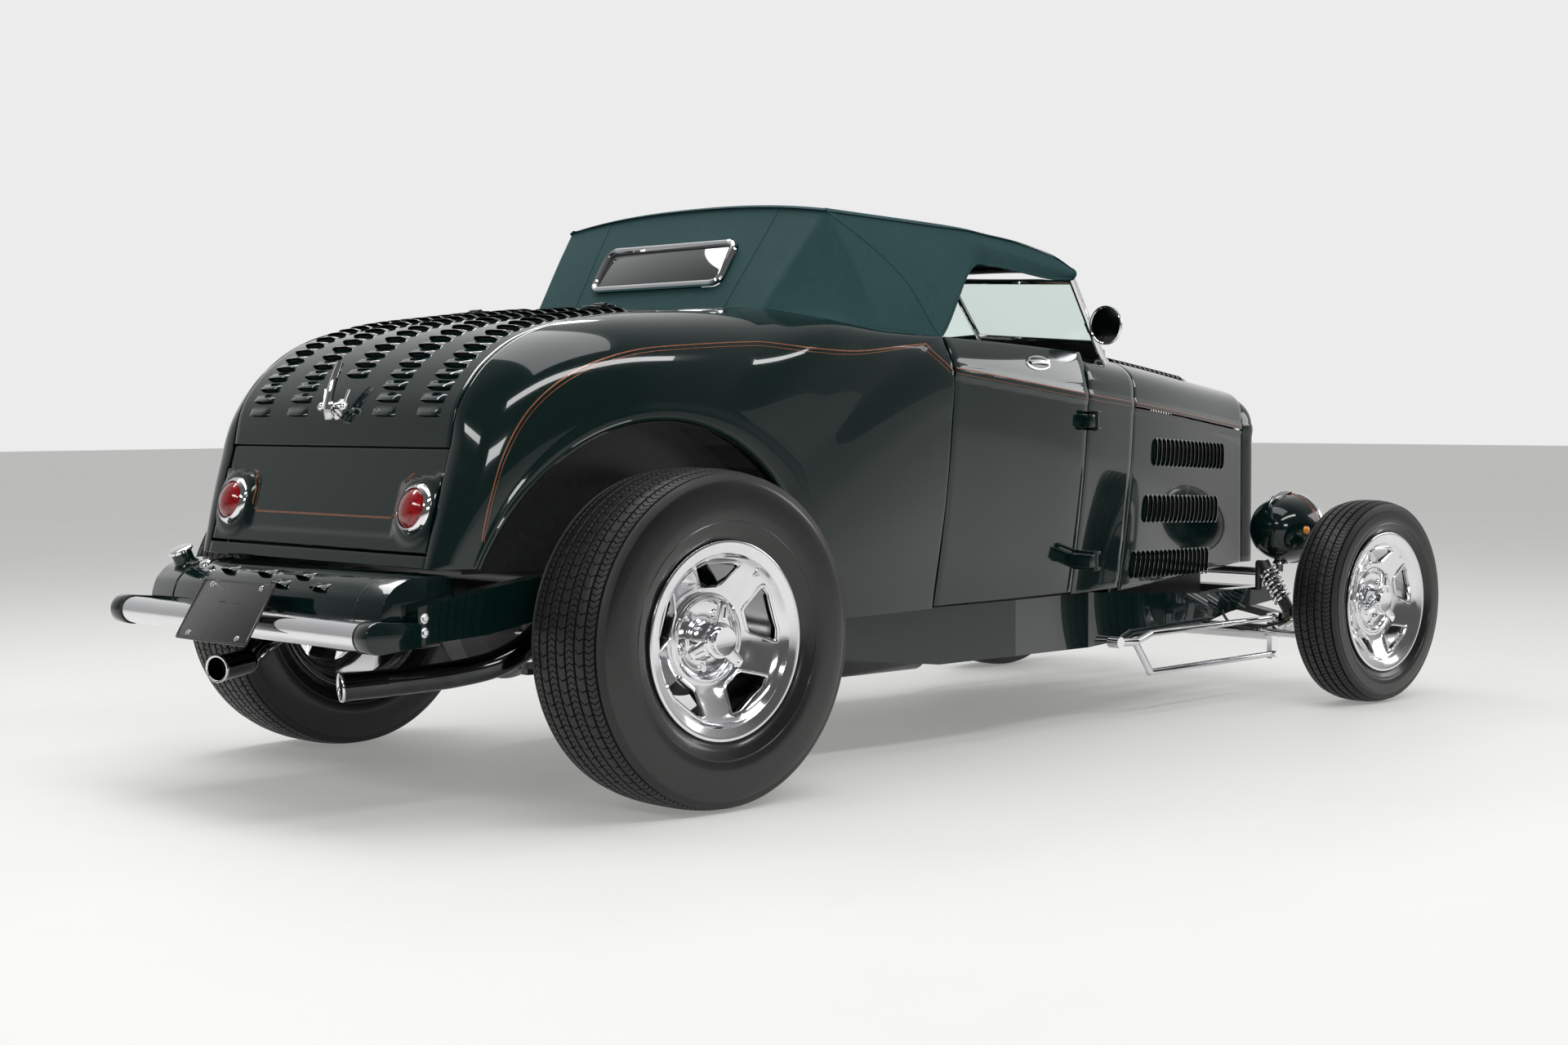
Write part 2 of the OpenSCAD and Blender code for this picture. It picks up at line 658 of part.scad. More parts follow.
module door() {
    xs = [for (k = [0:4]) mix(door_rear_x + panel_gap, door_front_x, k / 4)];
    low = body_z + panel_gap;
    outer = [for (x = xs) [for (k = [0:10])
        let (z = mix(low, top_z(x), k / 10)) [x, -side_y(x, z, body_z), z]]];
    inner = [for (r = outer) [for (p = r) [p.x, p.y + door_t, p.z]]];
    skin(outer, inner);
    for (z = [470, 850]) hinge_knuckle(z);
}

module door_right() {
    color(paint) on_car() door();
}

module door_left() {
    color(paint) on_car() mirror([0, 1, 0]) door();
}

// Quarter panel: each row bends from the wheel arch to its outer edge
function bend(a, b, c, t) = (1 - t) * (1 - t) * a + 2 * t * (1 - t) * b + t * t * c;
function quarter_row(r) = [for (k = [0:7]) let (t = k / 7)
    bend([arch_r * cos(r[0]), -width_k * r[1], arch_z + arch_r * sin(r[0])],
        [r[2], -width_k * r[3], r[4]], [r[5], -width_k * r[6], r[7]], t)];
function quarter_inner(r) = [for (k = [0:7])
    let (p = quarter_row(r)[k], roll = r[8] * pow(k / 7, 1.5))
    p + panel_t * unit((1 - roll) * [0, 1, 0] + roll * unit([-p.x, 0, arch_z - p.z]))];

module quarter() {
    reversed = [for (i = [len(quarter_rows) - 1:-1:0]) quarter_rows[i]];
    skin([for (r = reversed) quarter_row(r)], [for (r = reversed) quarter_inner(r)]);
}

module quarter_right() {
    color(paint) on_car() quarter();
}

module quarter_left() {
    color(paint) on_car() mirror([0, 1, 0]) quarter();
}

// Deck surface: rows of the centre line between two places, half width w
function deck_dir(i) = unit([
    deck_rows[min(i + 1, len(deck_rows) - 1)][0] - deck_rows[max(i - 1, 0)][0], 0,
    deck_rows[min(i + 1, len(deck_rows) - 1)][1] - deck_rows[max(i - 1, 0)][1]]);
function deck_crown_at(i) = deck_rows[i][1] > crease_z ? deck_crown * min(1, (deck_rows[i][1] - crease_z) / 200) : 0;
function deck_row(i, w, shift, depth) =
    let (d = deck_dir(i), n = [-d.z, 0, d.x], c = [deck_rows[i][0], 0, deck_rows[i][1]] + shift * d)
    [for (k = [-4:4]) c + [0, w * k / 4, 0] + (deck_crown_at(i) * (1 - k * k / 16) - depth) * n];

module deck_patch(first, last, w, gap_low, gap_high) {
    function shift(i) = i == first ? gap_low : i == last ? -gap_high : 0;
    skin([for (i = [first:last]) deck_row(i, w, shift(i), 0)],
        [for (i = [first:last]) deck_row(i, w, shift(i), lid_t)]);
}

module rear_deck() {
    color(paint) on_car() {
        deck_patch(0, 1, width_k * deck_half_w - seat, 0, 0);
        deck_patch(10, 12, width_k * deck_half_w - seat, 0, 0);
        lid_hinges();
    }
}

// Hinge line of the deck lid, in the gap ahead of it at the height of its skin
lid_hinge_x = lid_front_x - panel_gap / 2;
lid_hinge_z = 1114 + deck_crown + 6;
module lid_hinges() {
    for (y = [-250, 250]) translate([lid_hinge_x, y, lid_hinge_z]) rotate([90, 0, 0]) {
        cylinder(r = 4, h = 70, center = true);
        for (side = [-1, 1]) translate([-4, -9, side * 28 - 7]) cube([22, 13, 14]);
    }
}

module deck_lid() {
    color(paint) on_car() {
        difference() {
            deck_patch(1, 10, width_k * deck_half_w - panel_gap, panel_gap, panel_gap);
            for (y = [-250, 250]) translate([lid_hinge_x - 6, y - 45, lid_hinge_z - 14]) cube([40, 90, 40]);
        }
        for (y = [-250, 250]) translate([lid_hinge_x, y, lid_hinge_z]) rotate([90, 0, 0]) difference() {
            union() {
                cylinder(r = 8, h = 40, center = true);
                translate([-40, -9, -20]) cube([40, 8, 40]);
            }
            cylinder(r = 4.05, h = 60, center = true);
        }
    }
}

// Hood: the right half of the top, hinged on a rod along the centre line
hood_x0 = cowl_front_x + panel_gap;
hood_x1 = shell_x - panel_gap;
rod_r = 4.4;
hood_edge = 9;
function hood_section(x, t) = concat(
    [for (a = [0:11:77]) crown_point(x, a, t, crown_power)],
    [[x, -hood_edge, crown_z(x) - t]]
);

module hood_top() {
    xs = [for (k = [0:5]) mix(hood_x0, hood_x1, k / 5)];
    skin([for (x = xs) hood_section(x, 0)], [for (x = xs) hood_section(x, lid_t)]);
}

module hood_top_right() {
    color(paint) on_car() hood_top();
}

module hood_top_left() {
    color(paint) on_car() mirror([0, 1, 0]) hood_top();
}

module hood_side() {
    xs = [for (k = [0:4]) mix(cowl_front_x + seat, shell_x - seat, k / 4)];
    function low(x) = mix(366, shell_z, (x - cowl_front_x) / (shell_x - cowl_front_x));
    outer = [for (x = xs) [for (k = [0:6])
        let (z = mix(low(x), belt_z(x) - panel_gap, k / 6)) [x, -side_y(x, z, low(x)), z]]];
    inner = [for (r = outer) [for (p = r) [p.x, p.y + lid_t, p.z]]];
    skin(outer, inner);
}

module hood_side_right() {
    color(paint) on_car() hood_side();
}

module hood_side_left() {
    color(paint) on_car() mirror([0, 1, 0]) hood_side();
}

// Shell: an arch that turns in round the grille. Inset of each section: x from the shell's rear, inset
shell_rows = [[0, 0], [40, 0], [66, 7], [78, 20], [84, 40]];
function shell_section(inset, x, t) = [for (p = whole(arch_section(shell_x, shell_z, t, 2.6)))
    let (c = [0, 0, 650], q = [0, p.y, p.z] - c)
    [x, q.y * (1 - inset / 262), 650 + q.z * (p.z > 650 ? 1 - inset / 295 : 1)]];

module radiator_shell() {
    color(paint) on_car() {
        skin([for (r = shell_rows) shell_section(r[1], shell_x + r[0], 0)],
            [for (r = shell_rows) shell_section(r[1], shell_x + r[0] - (r[0] > 60 ? 4 : 0), 22)]);
        rod([cowl_front_x + seat, 0, crown_z(cowl_front_x)], [shell_x - seat, 0, crown_z(shell_x)], rod_r);
    }
}

module radiator_grille() {
    core = [for (p = shell_section(0, 0, 22.5)) [p.y, p.z]];
    color(chrome) on_car() translate([shell_x + 6, 0, 0]) rotate([90, 0, 90]) {
        linear_extrude(height = 34) polygon(core);
        for (y = [-180:24:180]) translate([y, shell_z + 30, 33])
            linear_extrude(height = 24) polygon([[-3, 0], [3, 0], [3, 440], [-3, 440]]);
    }
}

// ---------- lamps ----------

// Bullet lamp with its stand, on a bar over the frame
module headlights() {
    x = wheelbase + 8;
    y = 425;
    z = 508;
    bar_z = 372;
    color(paint) on_car() {
        rod([x - 10, -y - 6, bar_z], [x - 10, y + 6, bar_z], 13);
        both_sides() {
            translate([x, -y, z]) rotate([0, 90, 0]) rotate_extrude() polygon([
                [0, -96], [28, -92], [62, -74], [88, -42], [102, 0], [107, 40], [109, 62], [109, 78],
                [96, 88], [60, 98], [0, 104]
            ]);
            rod([x - 10, -y, bar_z + 5], [x - 4, -y, z - 96], 15);
            rod([x - 10, -378, 330 + seat], [x - 10, -378, bar_z], 11);
        }
    }
}

// Round lamps on the lid's lower panel
module tail_lights() {
    lean = atan2(-457 + 521, crease_z - lid_z);
    color("darkred") on_car() both_sides()
        translate([-495, -379 * width_k, 669]) rotate([0, -90 + lean, 0]) translate([0, 0, 1])
            rotate_extrude() polygon([[0, 0], [56, 0], [56, 20], [50, 28], [40, 30], [20, 38], [0, 40]]);
}

// ---------- windshield, mirrors and top ----------

module windshield_frame() {
    function side(p) = [p.x, -p.y, p.z];
    pad_y = post_foot.y - 5;
    low = mix(post_foot, post_top, glass_low);
    high = mix(post_foot, post_top, glass_high);
    color(chrome) on_car() {
        rod(centre_foot, centre_top, post_r - 1);
        for (p = [centre_foot, centre_top]) translate(p) sphere(r = post_r + 3);
        both_sides() {
            rod(side(post_foot), side(post_top), post_r);
            rod(side(low), centre_foot, post_r - 2.5);
            rod(side(high), centre_top, post_r - 3);
            rod([post_foot.x, -pad_y, crown_at(post_foot.x, pad_y - 8) + 0.6], side(post_foot) + [0, 5, 8], 8);
        }
        rod([centre_foot.x, 0, crown_z(centre_foot.x) + 0.6], centre_foot, 7);
    }
}

module windshield_glass() {
    function side(p) = [p.x, -p.y, p.z];
    low = side(mix(post_foot, post_top, glass_low));
    high = side(mix(post_foot, post_top, glass_high));
    inset_by = post_r + seat;
    // Corner p moved in from its edges towards the corners q and r
    function inset(p, q, r) =
        let (u = unit(q - p), v = unit(r - p)) p + inset_by / norm(cross(u, v)) * (u + v);
    corners = [
        inset(low, high, centre_foot), inset(high, centre_top, low),
        inset(centre_foot, low, centre_top), inset(centre_top, centre_foot, high)
    ];
    a = [glass_t / 2, 0, 0];
    color("lightcyan") on_car() both_sides()
        skin([[corners[0] - a, corners[1] - a], [corners[2] - a, corners[3] - a]],
            [[corners[0] + a, corners[1] + a], [corners[2] + a, corners[3] + a]]);
}

module mirrors() {
    hold = mix(post_foot, post_top, 0.42);
    at = [hold.x - 8, hold.y + 68, hold.z];
    color(chrome) on_car() both_sides() {
        translate([at.x - 14, -at.y, at.z]) rotate([0, 90, 0]) rotate_extrude()
            polygon([[0, 0], [54, 0], [54, 10], [44, 22], [20, 28], [0, 28]]);
        rod([hold.x, -hold.y - post_r - 0.5, hold.z], [at.x + 6, -at.y + 30, at.z], 7);
    }
}

// Half hoop of the top, from its lower edge to the crown, moved inwards by t
function hoop(i, t) =
    let (r = hoop_rows[i],
        low = [r[0], -width_k * r[1], r[2] + seat],
        shoulder = [r[3], -width_k * r[4], r[5] + (i == 0 ? seat : 0)],
        rear = i < rear_panel_hoops,
        inward = i == 0 ? [1, 0, 0] : rear ? [0.85, 0, -0.53] : [0, 0, -1])
    concat(
        [for (k = [0:3]) mix(low, shoulder, k / 4) + t * unit(mix([0, 1, 0], inward, k * 0.12))],
        [for (k = [0:4]) let (w = 1 - k / 4)
            [mix(r[6], r[3], pow(w, 2)), shoulder.y * w, mix(r[7] + (i == 0 ? seat : 0), shoulder.z, w * w)]
                + t * unit(k == 0 ? [0, 0.7, 0] + 0.7 * inward : inward)]
    );

rear_window_place = [545, 0, 1249];
rear_window_tilt = 32;

module rear_window_block(grow, depth) {
    translate(rear_window_place) rotate([0, rear_window_tilt, 0])
        cube([depth, 520 + 2 * grow, 142 + 2 * grow], center = true);
}

module soft_top() {
    rows = [for (i = [0:len(hoop_rows) - 1]) i];
    color(canvas) on_car() difference() {
        skin([for (i = rows) whole(hoop(i, 0))], [for (i = rows) whole(hoop(i, canvas_t))]);
        rear_window_block(seat, 120);
    }
}

module rear_window() {
    color(chrome) on_car() {
        difference() {
            rear_window_block(0, 26);
            rear_window_block(-14, 60);
        }
        rear_window_block(-14 - seat, 5);
    }
}

// ---------- floor and cabin ----------

// Cabin floor with its tunnel, seat riser, firewall, trunk floor and bulkhead
tunnel_top = 478;
floor_z = body_z + 8;
floor_x = 600;
firewall_x = cowl_front_x - panel_t;

module floor_pan() {
    half = 480 * width_k;
    wall = 12;
    tunnel = 190;
    door_side = 14 + door_t;
    firewall_half = bottom_y(firewall_x) - panel_t - 16;
    firewall_top = crown_z(firewall_x) - 56;
    trunk_z = 578;
    color(black) on_car() {
        both_sides() {
            translate([0, 0, floor_z]) linear_extrude(height = wall) polygon([
                [floor_x, -half], [door_rear_x, -min(half, bottom_y(door_rear_x) - door_side)],
                [door_front_x, door_side - bottom_y(door_front_x)],
                [firewall_x, -firewall_half], [firewall_x, wall - tunnel], [floor_x, wall - tunnel]
            ]);
            translate([floor_x, -tunnel, floor_z]) cube([firewall_x - floor_x, wall, tunnel_top - floor_z]);
            translate([floor_x - wall, -half, floor_z])
                cube([wall, half - tunnel + wall, trunk_z + wall - floor_z]);
            translate([seat_x1 - 40, -half + 20, floor_z]) cube([wall, half - 20 - tunnel + wall, tunnel_top - floor_z]);
            translate([firewall_x, -firewall_half, floor_z])
                cube([wall, firewall_half - tunnel + wall, firewall_top - floor_z]);
            for (x = mid_cross_x) translate([x + 5, -half, mid_cross_top + seat])
                cube([50, half - tunnel, floor_z - mid_cross_top]);
        }
        translate([floor_x, -tunnel, tunnel_top - wall]) cube([firewall_x - floor_x, 2 * tunnel, wall]);
        translate([floor_x - wall, -tunnel, tunnel_top - wall])
            cube([wall, 2 * tunnel, trunk_z - tunnel_top + 2 * wall]);
        translate([-420, -half, trunk_z]) cube([floor_x + 420, 2 * half, wall]);
        translate([floor_x - 80, -half, trunk_z + wall - 1]) cube([wall, 2 * half, 480]);
        translate([firewall_x, -tunnel, tunnel_top - wall])
            cube([wall, 2 * tunnel, firewall_top - tunnel_top + wall]);
    }
}

// Inner walls of the rear wheel arches, standing on the rails
module wheel_tubs() {
    wall = 12;
    plate_y = 486 * width_k;
    angles = [140:-11.5:25];
    function lip(a) = width_k * lookup(a, col(quarter_rows, 1)) - panel_t - 4;
    band_out = [for (a = angles) [
        [arch_r * cos(a), -lip(a), arch_z + arch_r * sin(a)],
        [arch_r * cos(a), -plate_y - wall - seat, arch_z + arch_r * sin(a)]]];
    color(black) on_car() both_sides() {
        skin([for (r = band_out) [for (p = r) [p.x * 1.026, p.y, arch_z + (p.z - arch_z) * 1.026]]], band_out);
        translate([0, -plate_y, 0]) rotate([90, 0, 0]) linear_extrude(height = wall) intersection() {
            translate([0, arch_z]) circle(r = arch_r + 10, $fn = 120);
            translate([-500, 530 + seat]) square([1000, 600]);
        }
    }
}

// Bench seat on the tunnel and the riser
seat_x0 = 690;
seat_x1 = 1160;
seat_top = 595;
seat_half = 465 * width_k;
module seat_cushion() {
    z = tunnel_top + seat;
    color("tan") on_car() translate([seat_x0, -seat_half, z]) cube([seat_x1 - seat_x0, 2 * seat_half, seat_top - z]);
}

module seat_back() {
    lean = 9;
    x = seat_x0 - 28;
    color("tan") on_car() translate([x, -seat_half, seat_top + seat - (seat_x0 - x) * tan(lean)])
        rotate([0, -lean, 0]) cube([118, 2 * seat_half, 440]);
}

module dashboard() {
    x = door_front_x + panel_gap + 6;
    depth = 40;
    top = [for (a = concat([0], [for (k = [12:13:77]) k]))
        let (p = crown_point(x + depth, a, panel_t + seat, crown_power)) [p.y, p.z]];
    outline = concat(top, [for (i = [len(top) - 1:-1:0]) [-top[i][0], top[i][1]]]);
    color(paint) on_car() translate([x, 0, 0]) rotate([90, 0, 90]) linear_extrude(height = depth)
        polygon(outline);
}

module steering_wheel() {
    y = 300 * width_k;
    hub = [1275, y, 945];
    foot = [firewall_x, y, 655];
    d = unit(foot - hub);
    color(black) on_car() {
        rod(hub, foot - 12 * d, 16);
        translate(hub) rotate([0, 90 + asin(-d.z), 0]) {
            rotate_extrude($fn = 96) translate([180, 0]) circle(r = 12);
            for (a = [0, 120, 240]) rotate([0, 0, a]) translate([0, -14, -3]) cube([176, 28, 6]);
            cylinder(r = 34, h = 30, center = true);
        }
        translate([foot.x - 22, y - 30, foot.z - 30]) cube([22 - seat, 60, 60]);
    }
}

frame_rails();
crossmembers();
front_axle();
radius_rods();
front_suspension();
knuckle_right();
knuckle_left();
tie_rod();
wheel_place(true, false) front_tyre();  // tyre_front_right
wheel_place(true, true) front_tyre();  // tyre_front_left
wheel_place(false, false) rear_tyre();  // tyre_rear_right
wheel_place(false, true) rear_tyre();  // tyre_rear_left
wheel_place(true, false) front_rim();  // rim_front_right
wheel_place(true, true) front_rim();  // rim_front_left
wheel_place(false, false) rear_rim();  // rim_rear_right
wheel_place(false, true) rear_rim();  // rim_rear_left
rear_axle();
rear_suspension();
driveline();
engine();
exhaust_pipes();
fuel_tank();
rear_bumper();
license_plate();
floor_pan();
wheel_tubs();
cowl();
door_right();
door_left();
quarter_right();
quarter_left();
rear_deck();
deck_lid();
hood_top_right();
hood_top_left();
hood_side_right();
hood_side_left();
radiator_shell();
radiator_grille();
headlights();
tail_lights();
windshield_frame();
windshield_glass();
mirrors();
soft_top();
rear_window();
seat_cushion();
seat_back();
dashboard();
steering_wheel();
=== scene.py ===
import math

import bmesh
import bpy
import numpy as np
from mathutils import Matrix, Vector


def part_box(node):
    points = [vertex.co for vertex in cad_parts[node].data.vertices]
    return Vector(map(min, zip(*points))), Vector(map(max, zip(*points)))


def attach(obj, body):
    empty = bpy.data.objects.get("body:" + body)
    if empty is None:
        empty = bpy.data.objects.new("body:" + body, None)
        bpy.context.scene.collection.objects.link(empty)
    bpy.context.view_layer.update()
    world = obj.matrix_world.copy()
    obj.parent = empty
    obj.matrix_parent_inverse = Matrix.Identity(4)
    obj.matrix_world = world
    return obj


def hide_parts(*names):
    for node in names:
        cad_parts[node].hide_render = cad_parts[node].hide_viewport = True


bl_info = {
    "name": "Street Rod Roadster",
    "version": (1, 0, 0),
    "blender": (4, 5, 0),
    "location": "View3D > Sidebar > Roadster",
    "description": "Builds the looks of a street rod roadster round its packed frame",
    "category": "Add Mesh",
}

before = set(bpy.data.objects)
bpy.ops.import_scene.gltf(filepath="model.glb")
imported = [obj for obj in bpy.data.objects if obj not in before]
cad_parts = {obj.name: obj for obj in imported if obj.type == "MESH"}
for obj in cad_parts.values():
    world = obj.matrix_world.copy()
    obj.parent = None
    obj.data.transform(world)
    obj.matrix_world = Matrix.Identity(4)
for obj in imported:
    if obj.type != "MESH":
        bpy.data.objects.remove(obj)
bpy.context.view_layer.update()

# Places are counted in metres from the rear axle, as in the frame's own source
REAR_TYRE = [Vector(c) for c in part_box("tyre_rear_right")]
FRONT_TYRE = [Vector(c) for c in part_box("tyre_front_right")]
CAR_X = (REAR_TYRE[0].x + REAR_TYRE[1].x) / 2
REAR_R = (REAR_TYRE[1].z - REAR_TYRE[0].z) / 2
FRONT_R = (FRONT_TYRE[1].z - FRONT_TYRE[0].z) / 2
WHEELBASE = (FRONT_TYRE[0].x + FRONT_TYRE[1].x) / 2 - CAR_X
SHELL_X = WHEELBASE + 0.026
COWL_X = 1.834
DOOR_X = (0.950, 1.556)
GAP = 0.006
HOOD_EDGE = 0.0095
BODY_Z = 0.375
SHELL_Z = 0.397
ARCH_R = 0.465
ARCH_Z = 0.400
CREASE_Z = 0.803
# Powers of the rounded sections of the hood and of the radiator shell
CROWN_POWER = 4.2
SHELL_POWER = 2.6

# Body sides: x, half width at the bottom, half width at the belt, belt height, top half width, top height
SIDE = (
    (DOOR_X[0], .565, .640, .978, .600, 1.067), (1.250, .547, .616, .945, .581, 1.053),
    (DOOR_X[1], .520, .580, .913, .551, 1.037), (COWL_X, .467, .520, .891, .494, 1.030),
    (SHELL_X, .262, .262, .816, .250, .900),
)
# Centre line of cowl and hood, and of the deck: x, z
CROWN = ((DOOR_X[1], 1.062), (COWL_X, 1.037), (SHELL_X - .318, .979), (SHELL_X, .945))
DECK = (
    (-.529, .544), (-.521, .574), (-.490, .690), (-.457, CREASE_Z), (-.438, .885), (-.405, .940),
    (-.350, .995), (-.265, 1.048), (-.150, 1.083), (0, 1.104), (.130, 1.114), (.300, 1.124), (.470, 1.130),
)
# Quarter: arch angle, arch half width, middle x, half width, z, edge x, half width, z
QUARTER = (
    (-3.1, .606, .700, .600, .375, .950, .565, .375), (9, .620, .720, .628, .600, .950, .612, .640),
    (20, .626, .730, .642, .790, .950, .634, .850), (30, .628, .740, .650, .930, .950, .640, .978),
    (39, .628, .760, .656, 1.040, .950, .600, 1.067), (50, .628, .620, .662, 1.040, .730, .600, 1.076),
    (62, .627, .480, .664, 1.060, .573, .575, 1.100), (74, .624, .340, .655, 1.085, .470, .452, 1.130),
    (85, .620, .130, .642, 1.085, .200, .452, 1.118), (97, .615, -.070, .628, 1.070, -.050, .452, 1.098),
    (110, .604, -.240, .612, 1.010, -.225, .452, 1.064), (123, .590, -.365, .592, .925, -.350, .452, .995),
    (136, .572, -.440, .572, .830, -.430, .452, .900), (147, .554, -.485, .552, .730, -.457, .452, .803),
    (156, .538, -.515, .532, .630, -.490, .452, .690), (162, .526, -.535, .512, .544, -.529, .452, .544),
)
# Hoops of the top: lower edge x, half width, z, shoulder x, half width, z, crown x, z
HOOPS = (
    (.573, .575, 1.100, .470, .452, 1.130, .470, 1.130), (.625, .583, 1.0925, .526, .470, 1.212, .526, 1.220),
    (.680, .592, 1.084, .583, .487, 1.295, .583, 1.311), (.730, .600, 1.076, .639, .501, 1.374, .639, 1.400),
    (.840, .600, 1.072, .850, .507, 1.364, .850, 1.402),
    (.948, .600, 1.067, 1.000, .509, 1.357, 1.000, 1.398),
    (1.137, .527, 1.246, 1.137, .511, 1.350, 1.137, 1.388),
    (1.220, .525, 1.260, 1.220, .513, 1.340, 1.220, 1.382),
    (1.340, .522, 1.250, 1.340, .515, 1.326, 1.345, 1.368),
    (1.470, .520, 1.236, 1.470, .518, 1.300, 1.500, 1.338),
    (1.562, .520, 1.238, 1.566, .518, 1.263, 1.662, 1.290),
)
# Heights of the door hinges and the half width at which their pins stand, seen from the right
DOOR_HINGE_Z = (0.470, 0.850)
DOOR_HINGE_Y = -0.604
# Deck lid: half width, its rows on the deck's centre line below and above the crease
LID_HALF = 0.446
LID_LOW = (1.05, 2.985)
LID_TOP = (3.02, 9.96)
LAST_DECK_ROW = len(DECK) - 1
LAST_ARCH_ROW = len(QUARTER) - 1
LAST_HOOP = len(HOOPS) - 1
MOULDING_RISE = 0.0035
POST_FOOT = Vector((1.698, .520, 1.020))
POST_TOP = Vector((1.560, .520, 1.236))
CENTRE_FOOT = Vector((1.770, 0, 1.098))
CENTRE_TOP = Vector((1.640, 0, 1.254))
GLASS_LOW = 0.21
GLASS_HIGH = 0.967


# Finish and colour slot of the pieces
PAINT = ("deep_gloss_paint", "body_paint")
STRIPE = ("copper_stripe", "body_paint")
CHROME = ("chrome_plate", "chrome")
SHADOW = ("shadow_black", "black_steel")
TRIM = ("black_rubber_trim", "trim_black")
CANVAS = ("canvas_cloth", "canvas")
SATIN = ("satin_black_steel", "black_steel")
DARK_CHROME = ("black_chrome", "black_steel")
LEATHER = ("seat_leather", "seat_leather")


# ---------- curves and surfaces ----------

def hermite(xs, ys, x):
    """Smooth curve through points, its slopes taken from the neighbours."""
    xs = np.asarray(xs, float)
    ys = np.asarray(ys, float)
    slopes = np.gradient(ys, xs)
    i = int(np.clip(np.searchsorted(xs, x) - 1, 0, len(xs) - 2))
    h = xs[i + 1] - xs[i]
    t = min(max((x - xs[i]) / h, 0), 1)
    return float((2 * t**3 - 3 * t**2 + 1) * ys[i] + (t**3 - 2 * t**2 + t) * h * slopes[i]
            + (3 * t**2 - 2 * t**3) * ys[i + 1] + (t**3 - t**2) * h * slopes[i + 1])


def along(rows, k, x):
    return hermite([r[0] for r in rows], [r[k] for r in rows], x)


def by_index(rows, k, i, breaks=()):
    """Column k of a table at a fractional row, smooth except at the rows in breaks."""
    edges = [0, *[b for b in breaks if b < len(rows) - 1], len(rows) - 1]
    for a, b in zip(edges, edges[1:]):
        if i <= b or b == edges[-1]:
            return hermite(range(a, b + 1), [r[k] for r in rows[a:b + 1]], i)


def mix(a, b, t):
    return a + (b - a) * t


def spread(a, b, count, endpoint=True):
    """Evenly spaced plain numbers from a to b."""
    return np.linspace(a, b, count, endpoint=endpoint).tolist()


def soft_step(a, b, x):
    t = min(max((x - a) / (b - a), 0), 1)
    return t * t * (3 - 2 * t)


def bead(x, middle, half, soft):
    """1 inside a band and 0 outside, with soft edges."""
    return 1 - soft_step(half - soft, half + soft, abs(x - middle))


def moulding(x, z):
    """How far the belt moulding stands out at height z."""
    return MOULDING_RISE * bead(z, along(SIDE, 3, x) + 0.002, 0.016, 0.004)


def side_y(x, z, z0):
    """Half width of the body side, with its raised belt moulding."""
    low, belt, belt_z, top, top_z = (along(SIDE, k, x) for k in (1, 2, 3, 4, 5))
    if z <= belt_z:
        y = mix(low, belt, 1 - max(1 - (z - z0) / (belt_z - z0), 0) ** 1.6)
    else:
        y = mix(belt, top, ((z - belt_z) / (top_z - belt_z)) ** 2)
    return y + moulding(x, z)


def crown_point(x, a, power=CROWN_POWER):
    """Point of the cowl and hood section at angle a above the belt, right side."""
    belt, belt_z, crown = along(SIDE, 2, x), along(SIDE, 3, x), along(CROWN, 1, x)
    y = belt * max(math.cos(a), 0) ** (2 / power)
    return Vector((x, -y, belt_z + (crown - belt_z) * max(math.sin(a), 0) ** (2 / power)))


def quarter_point(i, t):
    """Right quarter panel: row i, t from the wheel arch to the outer edge."""
    a, arch_y = (by_index(QUARTER, k, i) for k in (0, 1))
    mid = [by_index(QUARTER, k, i, (4,)) for k in (2, 3, 4)]
    edge = [by_index(QUARTER, k, i, (4, 7)) for k in (5, 6, 7)]
    a = math.radians(a)
    start = Vector((ARCH_R * math.cos(a), -arch_y, ARCH_Z + ARCH_R * math.sin(a)))
    mid = Vector((mid[0], -mid[1], mid[2]))
    edge = Vector((edge[0], -edge[1], edge[2]))
    return (1 - t) ** 2 * start + 2 * t * (1 - t) * mid + t * t * edge


def deck_point(i, y):
    """Deck surface: row i of its centre line, y across."""
    breaks = (3,)
    p = Vector((by_index(DECK, 0, i, breaks), y, by_index(DECK, 1, i, breaks)))
    ahead = min(i + .01, LAST_DECK_ROW)
    q = Vector((by_index(DECK, 0, ahead, breaks), y, by_index(DECK, 1, ahead, breaks)))
    if ahead == LAST_DECK_ROW:
        q = p + Vector((.17, 0, .006))
    d = (q - p).normalized()
    crown = 0.012 * min(max((p.z - CREASE_Z) / 0.2, 0), 1) * (1 - (y / 0.452) ** 2)
    return p + crown * Vector((-d.z, 0, d.x))


def hoop_point(i, t):
    """Canvas top: hoop i, t from the right lower edge over the crown (0.5) to the left one."""
    side = -1 if t <= 0.5 else 1
    t = 2 * min(t, 1 - t)
    r = [by_index(HOOPS, k, i, (3,)) for k in range(8)]
    low, shoulder = Vector((r[0], r[1], r[2])), Vector((r[3], r[4], r[5]))
    if t < 0.4:
        p = low.lerp(shoulder, t / 0.4)
        p.y += 0.012 * math.sin(math.pi * t / 0.4) * (0.3 + 0.7 * soft_step(1, 4, i))
    else:
        w = (1 - t) / 0.6
        p = Vector((mix(r[6], r[3], w * w), r[4] * w, mix(r[7], r[5], w ** 2.4)))
    return Vector((p.x, side * p.y, p.z))


# ---------- modelling helpers ----------

def clear_selection():
    for obj in bpy.context.selected_objects:
        obj.select_set(False)


def select_only(*objs):
    clear_selection()
    for obj in objs:
        obj.select_set(True)
    bpy.context.view_layer.objects.active = objs[0]


